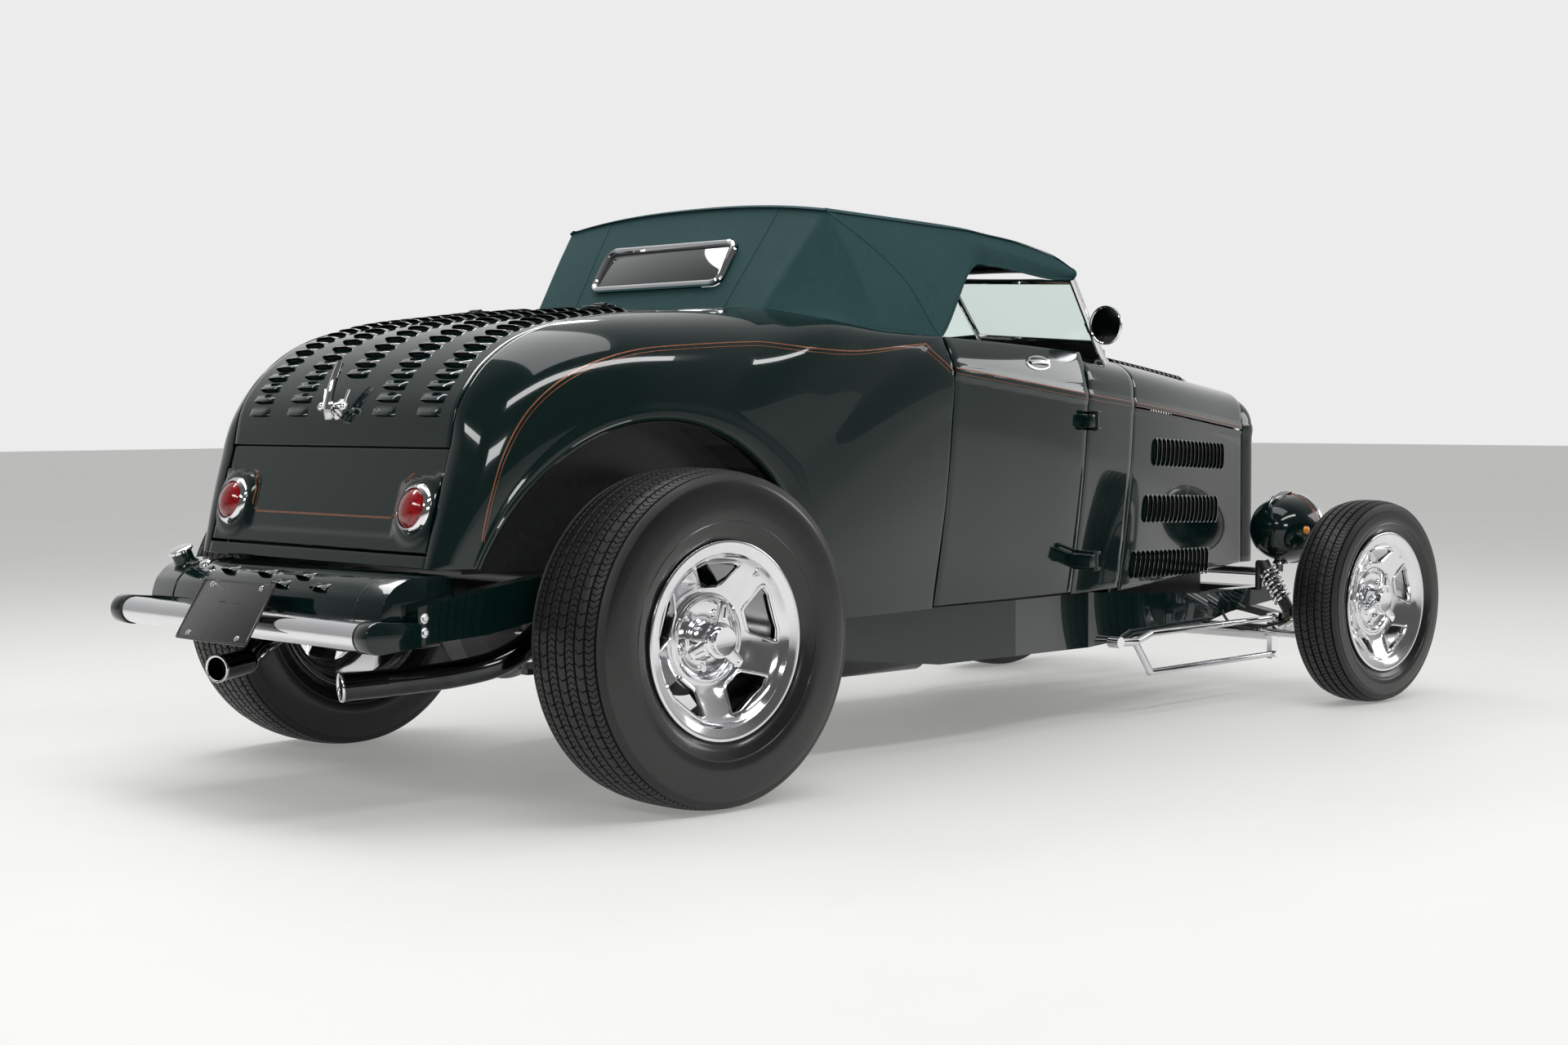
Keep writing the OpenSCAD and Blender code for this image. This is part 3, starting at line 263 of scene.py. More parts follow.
def in_edit(obj, *steps):
    """Runs edit mode operators on the whole mesh: (operator, settings) pairs."""
    select_only(obj)
    bpy.ops.object.mode_set(mode="EDIT")
    bpy.ops.mesh.select_all(action="SELECT")
    for operator, settings in steps:
        operator(**settings)
    bpy.ops.object.mode_set(mode="OBJECT")
    return obj


def closed(obj, distance=1e-5):
    """Merges doubles and turns all faces outwards."""
    return in_edit(obj, (bpy.ops.mesh.remove_doubles, {"threshold": distance}),
                   (bpy.ops.mesh.normals_make_consistent, {"inside": False}))


def modify(obj, kind, **settings):
    """Adds a modifier and applies it."""
    select_only(obj)
    modifier = obj.modifiers.new(kind.title(), kind)
    for key, value in settings.items():
        setattr(modifier, key, value)
    bpy.ops.object.modifier_apply(modifier=modifier.name)
    return obj


def bevel(obj, width, segments=2, angle=35):
    return modify(obj, "BEVEL", width=width, segments=segments, limit_method="ANGLE",
                  angle_limit=math.radians(angle), harden_normals=False)


def patch(surface, u_steps, v_steps, wall=0, edge=0.0012):
    """Grid primitive laid on surface(u, v). A wall goes inwards, and its edges are rounded."""
    clear_selection()
    bpy.ops.mesh.primitive_grid_add(x_subdivisions=u_steps, y_subdivisions=v_steps, size=2)
    obj = bpy.context.object
    for vertex in obj.data.vertices:
        vertex.co = surface((vertex.co.x + 1) / 2, (vertex.co.y + 1) / 2)
    if wall:
        modify(obj, "SOLIDIFY", thickness=wall, offset=-1, use_quality_normals=True)
        bevel(obj, edge)
    return obj


def spun(profile, steps=64, axis="Y", close=False):
    """Profile of (along, radius) points spun about an axis through the origin."""
    clear_selection()
    mesh = bpy.data.meshes.new("profile")
    count = len(profile)
    edges = [(i, i + 1) for i in range(count - 1)] + ([(count - 1, 0)] if close else [])
    mesh.from_pydata([(0, a, r) for a, r in profile], edges, [])
    obj = bpy.data.objects.new("profile", mesh)
    bpy.context.collection.objects.link(obj)
    in_edit(obj,
            (bpy.ops.mesh.spin,
             {"steps": steps, "angle": 2 * math.pi, "center": (0, 0, 0), "axis": (0, 1, 0)}))
    closed(obj)
    if axis == "X":
        obj.data.transform(Matrix.Rotation(math.radians(-90), 4, "Z"))
    if axis == "Z":
        obj.data.transform(Matrix.Rotation(math.radians(90), 4, "X"))
    return obj


def tube(points, radius, sides=12, steps=0, ring=False):
    """Round bar along points, smoothed when steps is given."""
    points = [Vector(p) for p in points]
    if steps:
        path = points + points[:1] if ring else points
        grid = spread(0, len(path) - 1, steps)
        points = [Vector([hermite(range(len(path)), [p[k] for p in path], g) for k in range(3)])
                  for g in grid]
        if ring:
            points = points[:-1]
    curve = bpy.data.curves.new("bar", "CURVE")
    curve.dimensions = "3D"
    curve.bevel_depth = radius
    curve.bevel_resolution = max(sides // 4 - 1, 1)
    curve.use_fill_caps = not ring
    spline = curve.splines.new("POLY")
    spline.points.add(len(points) - 1)
    spline.use_cyclic_u = ring
    for target, point in zip(spline.points, points):
        target.co = (*point, 1)
    obj = bpy.data.objects.new("bar", curve)
    bpy.context.collection.objects.link(obj)
    select_only(obj)
    bpy.ops.object.convert(target="MESH")
    return closed(bpy.context.object)


def block(low, high, edge=0.002, segments=2):
    """Box between two corners with rounded edges."""
    clear_selection()
    low, high = Vector(low), Vector(high)
    bpy.ops.mesh.primitive_cube_add(size=1, location=(low + high) / 2)
    obj = bpy.context.object
    obj.scale = high - low
    bpy.ops.object.transform_apply(location=True, rotation=True, scale=True)
    return bevel(obj, edge, segments) if edge else obj


def extruded(outline, depth, edge=0.001, segments=2):
    """Outline of (x, y) points with its depth along +Z."""
    clear_selection()
    mesh = bpy.data.meshes.new("outline")
    mesh.from_pydata([(x, y, 0) for x, y in outline], [], [range(len(outline))])
    obj = bpy.data.objects.new("outline", mesh)
    bpy.context.collection.objects.link(obj)
    in_edit(obj, (bpy.ops.mesh.extrude_region_move, {"TRANSFORM_OT_translate": {"value": (0, 0, depth)}}),
            (bpy.ops.mesh.select_all, {"action": "SELECT"}),
            (bpy.ops.mesh.normals_make_consistent, {"inside": False}))
    return bevel(obj, edge, segments) if edge else obj


def moved(obj, *matrices):
    for matrix in matrices:
        obj.data.transform(matrix)
    obj.data.update()
    return obj


def shift(*offset):
    return Matrix.Translation(Vector(offset))


def turn(degrees, axis):
    return Matrix.Rotation(math.radians(degrees), 4, axis)


def copy_of(obj, *matrices):
    copy = obj.copy()
    copy.data = obj.data.copy()
    bpy.context.collection.objects.link(copy)
    return moved(copy, *matrices)


def mirrored(obj):
    """Copy on the other side of the car."""
    copy = copy_of(obj, Matrix.Scale(-1, 4, (0, 1, 0)))
    copy.data.flip_normals()
    return copy


def both(obj):
    return joined([obj, mirrored(obj)])


def joined(objs):
    select_only(*objs)
    if len(objs) > 1:
        bpy.ops.object.join()
    return bpy.context.view_layer.objects.active


def frame_on(point, normal, lengthwise):
    """Matrix that stands a piece on a surface: its Z on the normal, its Y along lengthwise."""
    z = Vector(normal).normalized()
    y = (Vector(lengthwise) - z * z.dot(Vector(lengthwise))).normalized()
    x = y.cross(z)
    matrix = Matrix((x, y, z)).transposed().to_4x4()
    matrix.translation = point
    return matrix


def normal_of(surface, u, v, step=1e-3):
    du = surface(u + step, v) - surface(u - step, v)
    dv = surface(u, v + step) - surface(u, v - step)
    return du.cross(dv).normalized()


def ribbon(points, normals, width, lift=0.0006):
    """Thin painted band along points that lie on a surface."""
    points = [Vector(p) for p in points]
    rows = []
    for i, (point, normal) in enumerate(zip(points, normals)):
        ahead = (points[min(i + 1, len(points) - 1)] - points[max(i - 1, 0)]).normalized()
        across = Vector(normal).cross(ahead).normalized()
        rows.append([point + across * width / 2 + Vector(normal) * lift,
                     point - across * width / 2 + Vector(normal) * lift])
    clear_selection()
    mesh = bpy.data.meshes.new("band")
    faces = [(2 * i, 2 * i + 1, 2 * i + 3, 2 * i + 2) for i in range(len(points) - 1)]
    mesh.from_pydata([p for row in rows for p in row], [], faces)
    obj = bpy.data.objects.new("band", mesh)
    bpy.context.collection.objects.link(obj)
    return modify(obj, "SOLIDIFY", thickness=0.0008, offset=0)


def piece(obj, name, body, material, slot, replaces=(), angle=35):
    """Finishes a piece: its place in the car, smooth faces, finish, body and the nodes it stands for."""
    obj.name = obj.data.name = name
    obj.data.transform(shift(CAR_X, 0, 0))
    select_only(obj)
    bpy.ops.object.shade_smooth_by_angle(angle=math.radians(angle))
    obj.data.materials.clear()
    obj.data.materials.append(FINISHES[material])
    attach(obj, body)
    if replaces:
        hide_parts(*replaces)
    return obj


# ---------- finishes ----------

class Wire:
    """A shader value that adds Math nodes when it is used in an expression."""

    def __init__(self, finish, socket):
        self.finish = finish
        self.socket = socket

    def math(self, operation, *values):
        return self.finish.node("ShaderNodeMath", {"operation": operation}, dict(enumerate(values)))

    def __add__(self, other):
        return self.math("ADD", self, other)

    def __mul__(self, other):
        return self.math("MULTIPLY", self, other)


class Finish:
    """A node material built round one Principled shader."""

    def __init__(self, name, **sockets):
        self.material = bpy.data.materials.new(name)
        self.material.use_nodes = True
        self.tree = self.material.node_tree
        self.shader = self.tree.nodes["Principled BSDF"]
        for socket, value in sockets.items():
            self.feed(socket.replace("_", " "), value)
        FINISHES[name] = self.material

    def feed(self, socket, value):
        target = self.shader.inputs[socket]
        if isinstance(value, Wire):
            self.tree.links.new(value.socket, target)
        else:
            target.default_value = (*value, 1) if isinstance(value, (tuple, list)) and len(value) == 3 \
                and target.type == "RGBA" else value

    def node(self, kind, settings, values, output=0):
        node = self.tree.nodes.new(kind)
        for key, value in settings.items():
            if key == "stops":
                for element, (place, color) in zip(node.color_ramp.elements, value):
                    element.position = place
                    element.color = (*color, 1)
            else:
                setattr(node, key, value)
        for key, value in values.items():
            if isinstance(value, Wire):
                self.tree.links.new(value.socket, node.inputs[key])
            else:
                node.inputs[key].default_value = value
        return Wire(self, node.outputs[output])

    def place(self):
        return self.node("ShaderNodeTexCoord", {}, {}, "Object")

    def noise(self, scale, detail=3, roughness=0.5):
        return self.node("ShaderNodeTexNoise", {},
                         {"Vector": self.place(), "Scale": scale, "Detail": detail, "Roughness": roughness})

    def stretched(self, x, y, z):
        return self.node("ShaderNodeMapping", {}, {"Vector": self.place(), "Scale": (x, y, z)})

    def colors(self, factor, low, high):
        return self.node("ShaderNodeMix", {"data_type": "RGBA"},
                         {"Factor": factor, 6: (*low, 1), 7: (*high, 1)}, 2)

    def between(self, factor, low, high):
        return self.node("ShaderNodeMapRange", {}, {"Value": factor, "To Min": low, "To Max": high})

    def bump(self, height, distance, strength=1.0):
        self.feed("Normal", self.node("ShaderNodeBump", {}, {
            "Height": height, "Distance": distance, "Strength": strength}))


FINISHES = {}


def scaled(color, k):
    return tuple(c * k for c in color)


def make_finishes(colors):
    """Every surface's finish, from the colours of the panel."""
    paint = tuple(colors.paint)
    f = Finish("deep_gloss_paint", Metallic=0.0, Coat_Weight=0.85, Coat_Roughness=0.01, Coat_IOR=1.5,
               Specular_IOR_Level=0.15)
    flake = f.noise(900, 2)
    f.feed("Base Color", f.colors(flake, paint, scaled(paint, 1.7)))
    f.feed("Roughness", f.between(f.noise(6, 4), 0.10, 0.16))
    f.bump(f.noise(110, 2), 0.00002, 0.25)

    f = Finish("chrome_plate", Metallic=1.0)
    smudge = f.noise(9, 5)
    f.feed("Base Color", f.colors(smudge, (0.80, 0.81, 0.83), (0.9, 0.9, 0.91)))
    f.feed("Roughness", f.between(smudge, 0.02, 0.09))

    f = Finish("black_chrome", Metallic=1.0)
    haze = f.noise(14, 4)
    f.feed("Base Color", f.colors(haze, (0.035, 0.036, 0.04), (0.085, 0.087, 0.09)))
    f.feed("Roughness", f.between(haze, 0.06, 0.14))

    f = Finish("polished_aluminium", Metallic=1.0)
    swirl = f.noise(30, 6, 0.6)
    f.feed("Base Color", f.colors(swirl, (0.74, 0.75, 0.77), (0.88, 0.88, 0.89)))
    f.feed("Roughness", f.between(swirl, 0.05, 0.17))
    f.bump(f.noise(400, 2), 0.00003, 0.2)

    f = Finish("tyre_rubber", Metallic=0.0, IOR=1.48)
    dust = f.noise(7, 5, 0.6)
    f.feed("Base Color", f.colors(dust, (0.006, 0.006, 0.0062), (0.017, 0.0165, 0.016)))
    f.feed("Roughness", f.between(f.noise(16, 4), 0.36, 0.56))
    f.bump(f.noise(900, 3), 0.0002, 0.35)

    f = Finish("tyre_sidewall", Metallic=0.0, Coat_Weight=0.35, Coat_Roughness=0.08)
    f.feed("Base Color", f.colors(f.noise(9, 4), (0.004, 0.004, 0.0041), (0.009, 0.0088, 0.0085)))
    f.feed("Roughness", f.between(f.noise(14, 4), 0.22, 0.36))
    f.bump(f.noise(260, 3), 0.0002, 0.2)

    f = Finish("shadow_black", Metallic=0.0)
    f.feed("Base Color", f.colors(f.noise(40, 2), (0.002, 0.002, 0.002), (0.005, 0.005, 0.005)))
    f.feed("Roughness", f.between(f.noise(90, 2), 0.7, 0.9))

    f = Finish("satin_black_steel", Metallic=0.0, Coat_Weight=0.35, Coat_Roughness=0.2)
    grain = f.noise(60, 4)
    f.feed("Base Color", f.colors(grain, (0.009, 0.010, 0.010), (0.022, 0.023, 0.023)))
    f.feed("Roughness", f.between(grain, 0.25, 0.45))
    f.bump(f.noise(500, 2), 0.0001, 0.3)

    canvas = tuple(colors.canvas)
    f = Finish("canvas_cloth", Metallic=0.0, Sheen_Weight=0.35, Sheen_Roughness=0.45,
               Sheen_Tint=(*scaled(canvas, 3), 1))
    warp = f.node("ShaderNodeTexWave", {"bands_direction": "X"},
                  {"Vector": f.place(), "Scale": 420, "Distortion": 0.6})
    weft = f.node("ShaderNodeTexWave", {"bands_direction": "DIAGONAL"},
                  {"Vector": f.stretched(0, 1, 1), "Scale": 300, "Distortion": 0.6})
    weave = warp * 0.5 + weft * 0.5
    tone = f.noise(5, 5, 0.6) * 0.65 + weave * 0.35
    f.feed("Base Color", f.colors(tone, scaled(canvas, 0.62), scaled(canvas, 1.35)))
    f.feed("Roughness", f.between(f.noise(50, 3), 0.72, 0.92))
    f.bump(weave + f.noise(14, 4) * 2.0, 0.0006, 0.5)

    f = Finish("copper_stripe", Metallic=0.35, Coat_Weight=1.0, Coat_Roughness=0.03)
    f.feed("Base Color", f.colors(f.noise(60, 2), scaled(tuple(colors.stripe), 0.8), tuple(colors.stripe)))
    f.feed("Roughness", f.between(f.noise(40, 2), 0.2, 0.35))

    f = Finish("tinted_glass", Transmission_Weight=1.0, IOR=1.45)
    f.feed("Base Color", f.colors(f.noise(4, 2), (0.80, 0.93, 0.88), (0.84, 0.95, 0.91)))
    f.feed("Roughness", f.between(f.noise(12, 3), 0.0, 0.015))

    # Opaque and near-black: painted shade of the cabin in place of a see-through pane
    f = Finish("shaded_window_glass", Metallic=0.0, Coat_Weight=1.0, Coat_Roughness=0.01, Specular_IOR_Level=0.9)
    f.feed("Base Color", f.colors(f.noise(4, 2), (0.012, 0.015, 0.016), (0.03, 0.036, 0.038)))
    f.feed("Roughness", f.between(f.noise(12, 3), 0.02, 0.06))

    f = Finish("red_lens", Metallic=0.0, Coat_Weight=1.0, Coat_Roughness=0.02, IOR=1.49)
    flute = f.node("ShaderNodeTexVoronoi", {}, {"Vector": f.place(), "Scale": 140.0})
    f.feed("Base Color", f.colors(flute, (0.40, 0.001, 0.004), (0.10, 0.0, 0.001)))
    f.feed("Roughness", f.between(f.noise(60, 2), 0.05, 0.14))
    f.bump(flute, 0.0006, 0.5)

    f = Finish("amber_lens", Metallic=0.0, Coat_Weight=1.0, Coat_Roughness=0.03)
    f.feed("Base Color", f.colors(f.noise(80, 2), (0.75, 0.22, 0.01), (0.9, 0.36, 0.03)))
    f.feed("Roughness", f.between(f.noise(60, 2), 0.1, 0.2))

    f = Finish("clear_lamp_glass", Transmission_Weight=0.6, IOR=1.5, Coat_Weight=1.0)
    flutes = f.node("ShaderNodeTexWave", {"bands_direction": "Y"}, {"Vector": f.place(), "Scale": 40.0})
    f.feed("Base Color", f.colors(flutes, (0.75, 0.78, 0.8), (0.95, 0.96, 0.97)))
    f.feed("Roughness", f.between(flutes, 0.02, 0.08))
    f.bump(flutes, 0.001, 0.5)

    f = Finish("seat_leather", Metallic=0.0, Coat_Weight=0.1, Coat_Roughness=0.4)
    cells = f.node("ShaderNodeTexVoronoi", {"feature": "DISTANCE_TO_EDGE"},
                   {"Vector": f.place(), "Scale": 260.0})
    tone = f.noise(5, 5)
    f.feed("Base Color", f.colors(tone, (0.33, 0.22, 0.13), (0.52, 0.38, 0.25)))
    f.feed("Roughness", f.between(tone, 0.42, 0.62))
    f.bump(cells, 0.0005, 0.5)

    f = Finish("number_plate_black", Metallic=0.0, Coat_Weight=0.5, Coat_Roughness=0.1)
    f.feed("Base Color", f.colors(f.noise(30, 3), (0.008, 0.008, 0.009), (0.018, 0.018, 0.02)))
    f.feed("Roughness", f.between(f.noise(20, 3), 0.22, 0.34))

    f = Finish("black_rubber_trim", Metallic=0.0)
    f.feed("Base Color", f.colors(f.noise(50, 3), (0.008, 0.008, 0.008), (0.02, 0.02, 0.02)))
    f.feed("Roughness", f.between(f.noise(30, 3), 0.45, 0.65))
    f.bump(f.noise(300, 2), 0.0002, 0.3)

    f = Finish("brass_fitting", Metallic=1.0)
    f.feed("Base Color", f.colors(f.noise(40, 3), (0.6, 0.4, 0.16), (0.78, 0.56, 0.26)))
    f.feed("Roughness", f.between(f.noise(60, 3), 0.2, 0.35))


# ---------- panel, sizes and colours ----------

class RoadsterColors(bpy.types.PropertyGroup):
    """Colours that a user would change."""
    paint: bpy.props.FloatVectorProperty(
        name="Paint", description="Body colour", subtype="COLOR", size=3, default=(0.0012, 0.0078, 0.0068))
    canvas: bpy.props.FloatVectorProperty(
        name="Canvas", description="Colour of the soft top", subtype="COLOR", size=3,
        default=(0.0045, 0.040, 0.043))
    stripe: bpy.props.FloatVectorProperty(
        name="Pinstripe", description="Colour of the pinstripes", subtype="COLOR", size=3,
        default=(0.30, 0.095, 0.04))
    floor: bpy.props.FloatVectorProperty(
        name="Floor", description="Colour of the studio floor", subtype="COLOR", size=3,
        default=(0.60, 0.595, 0.58))


class RoadsterSizes(bpy.types.PropertyGroup):
    """Sizes of the finer pieces."""
    louver_rise: bpy.props.FloatProperty(
        name="Louver rise", description="Height of a louver above its panel", default=0.010, unit="LENGTH")
    stripe_width: bpy.props.FloatProperty(
        name="Stripe width", description="Width of the broad pinstripe", default=0.0028, unit="LENGTH")
    panel_wall: bpy.props.FloatProperty(
        name="Panel wall", description="Thickness of the visible panels", default=0.012, unit="LENGTH")
    tread_depth: bpy.props.FloatProperty(
        name="Tread depth", description="Depth of the tyre grooves", default=0.007, unit="LENGTH")
    lens: bpy.props.FloatProperty(
        name="Camera lens", description="Focal length of the camera", default=0.0536, unit="LENGTH")


def louver(length, width, rise):
    """One pressed louver: a scoop that rises towards its open lip at +X, its length along Y."""
    def scoop(u, v):
        s = 2 * v - 1
        end = max(1 - abs(s) ** 3.2, 0) ** 0.5
        return Vector((width * (u - 0.5) * (0.72 + 0.28 * end), length / 2 * s,
                       rise * end * math.sin(u * math.pi / 2) ** 1.6))
    shell = patch(scoop, 6, 12)
    return modify(shell, "SOLIDIFY", thickness=0.0012, offset=-1)


def louver_shade_plate(length, width):
    """Dark plate under a louver: painted shade in its opening."""
    front = [(width * 0.47 * (1 - abs(s) ** 3), length * 0.43 * s) for s in spread(-1, 1, 15)]
    back = [(width * 0.06 * (1 - s * s), length * 0.40 * s) for s in spread(1, -1, 9)]
    return extruded(front[1:-1] + back, 0.0014, 0)


def louvers_on(places, length, width, rise):
    """Louvers and the dark plates of painted shade under them, on (point, normal, lengthwise) places."""
    scoop = louver(length, width, rise)
    shade_plate = louver_shade_plate(length, width)
    scoops = [copy_of(scoop, frame_on(*p)) for p in places]
    shade_plates = [copy_of(shade_plate, frame_on(*p)) for p in places]
    bpy.data.objects.remove(scoop)
    bpy.data.objects.remove(shade_plate)
    return joined(scoops), joined(shade_plates)


# ---------- body ----------

# Rows of louvers on the hood's sides: x of the first and the last louver, and the height of each
LOUVER_ROWS = ((1.998, 2.545, .758, .735), (1.960, 2.500, .596, .574), (1.915, 2.445, .436, .418))
LOUVERS_IN_ROW = 18
CROWN_LOUVERS = 15
SHELL_MIDDLE_Z = 0.650
GRILLE_HALF = 0.238
GRILLE_PITCH = 0.0102


def door_surface(u, v):
    x = mix(DOOR_X[0] + GAP, DOOR_X[1], u)
    z = mix(BODY_Z + GAP, along(SIDE, 5, x), v)
    return Vector((x, -side_y(x, z, BODY_Z), z))


def ease(w):
    """Spreads the points of the crown's section evenly over its corners."""
    return w * w / (w * w + (1 - w) ** 2)


def arch_surface(x, v, z0=BODY_Z, power=CROWN_POWER, share=0.36):
    """Section of the cowl: up the right side, over the crown and down the left side."""
    side = 1 if v <= 0.5 else -1
    v = 2 * min(v, 1 - v)
    if v < share:
        z = mix(z0, along(SIDE, 3, x), v / share)
        p = Vector((x, -side_y(x, z, z0), z))
    else:
        p = crown_point(x, math.pi / 2 * ease((v - share) / (1 - share)), power)
        p.y -= moulding(x, p.z)
    return Vector((x, side * p.y, p.z))


def hood_low(x):
    return mix(0.366, SHELL_Z, (x - COWL_X) / (SHELL_X - COWL_X))


def hood_side_surface(u, v):
    x = mix(COWL_X + 0.002, SHELL_X - 0.002, u)
    z = mix(hood_low(x), along(SIDE, 3, x) - GAP, v)
    return Vector((x, -side_y(x, z, hood_low(x)), z))


def hood_top_surface(u, v):
    x = mix(COWL_X + GAP, SHELL_X - GAP, u)
    p = crown_point(x, math.pi / 2 * ease(v))
    p.y = min(p.y - moulding(x, p.z), -HOOD_EDGE)
    return p


def stripes_on(surface, path, width):
    """A broad and a fine copper stripe on a surface, along (u, v) points and their partners."""
    bands = []
    for line, wide in zip(path, (width, width * 0.45)):
        points = [surface(u, v) for u, v in line]
        normals = [normal_of(surface, min(max(u, .002), .998), min(max(v, .002), .998)) for u, v in line]
        bands.append(ribbon(points, normals, wide))
    return joined(bands)


def level_path(surface, height, steps=40):
    """Points of a surface at a height that height(x) gives."""
    line = []
    for u in spread(0, 1, steps):
        low, high = 0.0, 1.0
        for _ in range(24):
            mid = (low + high) / 2
            p = surface(u, mid)
            low, high = (mid, high) if p.z < height(p.x) else (low, mid)
        line.append((u, low))
    return line


def belt_stripes(surface, width, v_scale=1.0):
    def shifted(u, v):
        return surface(u, v * v_scale)
    lines = [level_path(shifted, lambda x, o=o: along(SIDE, 3, x) + o) for o in (0.010, -0.003)]
    return stripes_on(shifted, lines, width)


class ROADSTER_OT_sides(bpy.types.Operator):
    """Cowl, doors and hood with their louvers, moulding and stripes"""
    bl_idname = "roadster.sides"
    bl_label = "Sides and hood"

    def execute(self, context):
        sizes = context.scene.roadster_sizes
        wall = sizes.panel_wall
        width = sizes.stripe_width

        def cowl_surface(u, v):
            return arch_surface(mix(DOOR_X[1] + GAP, COWL_X, u), v)

        piece(patch(cowl_surface, 12, 140, wall), "cowl_panel", "body", *PAINT, ["cowl"])
        stripe = belt_stripes(cowl_surface, width, 0.5)
        piece(both(stripe), "cowl_stripes", "body", *STRIPE)

        door = patch(door_surface, 24, 90, 0.055, 0.003)
        stripe = belt_stripes(door_surface, width)
        hinge = joined([part for z in DOOR_HINGE_Z for part in self.door_hinge(z)])
        handle = self.handle()
        right = (door, stripe, hinge, handle)
        left = tuple(mirrored(part) for part in right)
        for side, (panel, line, knuckle, pull) in (("right", right), ("left", left)):
            body = "door_" + side
            piece(panel, body + "_panel", body, *PAINT, [body])
            piece(line, body + "_stripes", body, *STRIPE)
            piece(knuckle, body + "_hinges", body, *PAINT)
            piece(pull, body + "_handle", body, *CHROME)
        ears = joined([part for z in DOOR_HINGE_Z for part in self.cowl_hinge(z)])
        piece(both(ears), "cowl_hinges", "body", *PAINT)

        side = patch(hood_side_surface, 44, 36, wall)
        places = []
        for x0, x1, z0, z1 in LOUVER_ROWS:
            for share in spread(0, 1, LOUVERS_IN_ROW):
                x = mix(x0, x1, share)
                u = (x - COWL_X) / (SHELL_X - COWL_X)
                z = mix(z0, z1, share)
                v = (z - hood_low(x)) / (along(SIDE, 3, x) - GAP - hood_low(x))
                places.append((hood_side_surface(u, v), normal_of(hood_side_surface, u, v), (0, 0, -1)))
        scoops, shade_plates = louvers_on(places, 0.082, 0.026, sizes.louver_rise)
        top = patch(hood_top_surface, 48, 44, 0.007)
        crown_places = []
        for u in spread(0.10, 0.604, CROWN_LOUVERS):
            v = 0.60
            crown_places.append((hood_top_surface(u, v), normal_of(hood_top_surface, u, v), (0, -1, 0.05)))
        top_scoops, top_shade_plates = louvers_on(crown_places, 0.085, 0.028, sizes.louver_rise)
        crown_stripe = belt_stripes(hood_top_surface, width)
        patterns = (side, scoops, shade_plates, top, top_scoops, top_shade_plates, crown_stripe)
        for name, flip in (("right", False), ("left", True)):
            parts = [mirrored(part) if flip else copy_of(part) for part in patterns]
            hood = "hood_top_" + name
            piece(parts[0], f"hood_side_{name}_panel", "body", *PAINT, ["hood_side_" + name])
            piece(parts[1], f"hood_side_{name}_louvers", "body", *PAINT)
            # Dark plates under the hood side's louvers: painted shade
            piece(parts[2], f"hood_side_{name}_openings", "body", *SHADOW)
            piece(parts[3], hood + "_panel", hood, *PAINT, [hood])
            piece(parts[4], hood + "_louvers", hood, *PAINT)
            # Dark plates under the crown's louvers: painted shade
            piece(parts[5], hood + "_openings", hood, *SHADOW)
            piece(parts[6], hood + "_stripes", hood, *STRIPE)
        for part in patterns:
            bpy.data.objects.remove(part)
        self.shell()
        return {"FINISHED"}

    def door_hinge(self, z):
        x, y = DOOR_X[1] + GAP / 2, DOOR_HINGE_Y
        skin = side_y(DOOR_X[1] - GAP, z, BODY_Z)
        barrel = moved(spun([(-.0175, .0055), (-.0175, .010), (.0175, .010), (.0175, .0055)], 24, "Z", True),
                       shift(x, y, z))
        leaf = block((x - .030, y - .007, z - .0175), (x - .004, -skin + .004, z + .0175), 0.003)
        return barrel, leaf

    def cowl_hinge(self, z):
        x, y = DOOR_X[1] + GAP / 2, DOOR_HINGE_Y
        skin = side_y(DOOR_X[1] + GAP, z, BODY_Z)
        parts = [moved(spun([(-.028, 0), (-.028, .004), (-.026, .005), (.026, .005), (.028, .004),
                             (.028, 0)], 16, "Z"),
                       shift(x, y, z))]
        for h in (-.026, .018):
            parts.append(block((x + .001, y - .007, z + h), (x + .018, -skin + .004, z + h + .008), 0.002))
            parts.append(moved(spun([(0, .0055), (0, .010), (.008, .010), (.008, .0055)], 24, "Z", True),
                               shift(x, y, z + h)))
        return parts

    def handle(self):
        """Flush oval pull with a bright rim, under the door's top edge."""
        def on_door(x, z, out):
            u = (x - DOOR_X[0] - GAP) / (DOOR_X[1] - DOOR_X[0] - GAP)
            v = (z - BODY_Z - GAP) / (along(SIDE, 5, x) - BODY_Z - GAP)
            return door_surface(u, v) + out * normal_of(door_surface, u, v)
        ring = [on_door(1.330 + .052 * math.cos(a), 1.004 + .017 * math.sin(a), .001)
                for a in spread(0, 2 * math.pi, 40, endpoint=False)]
        rim = tube(ring, 0.0032, 10, ring=True)
        bar = tube([on_door(1.330 + dx, 1.004 + .002 * math.cos(dx * 40), .003)
                    for dx in spread(-.040, .040, 12)],
                   0.0055, 12)
        return joined([rim, bar])

    def shell(self):
        """Radiator shell that turns in round a grille of vertical bars."""
        rows = ((0, 0), (.030, 0), (.052, .003), (.068, .010), (.079, .024), (.083, .038), (.080, .046),
                (.060, .050))

        def surface(u, v):
            i = u * (len(rows) - 1)
            x, inset = by_index(rows, 0, i), by_index(rows, 1, i)
            p = arch_surface(SHELL_X - 1e-4, v, SHELL_Z, SHELL_POWER, 0.42)
            k = 1 - inset / SIDE[-1][1]
            z = SHELL_MIDDLE_Z + (p.z - SHELL_MIDDLE_Z) * (1 - inset / 0.295 if p.z > SHELL_MIDDLE_Z else 1)
            return Vector((SHELL_X + x, p.y * k, z))

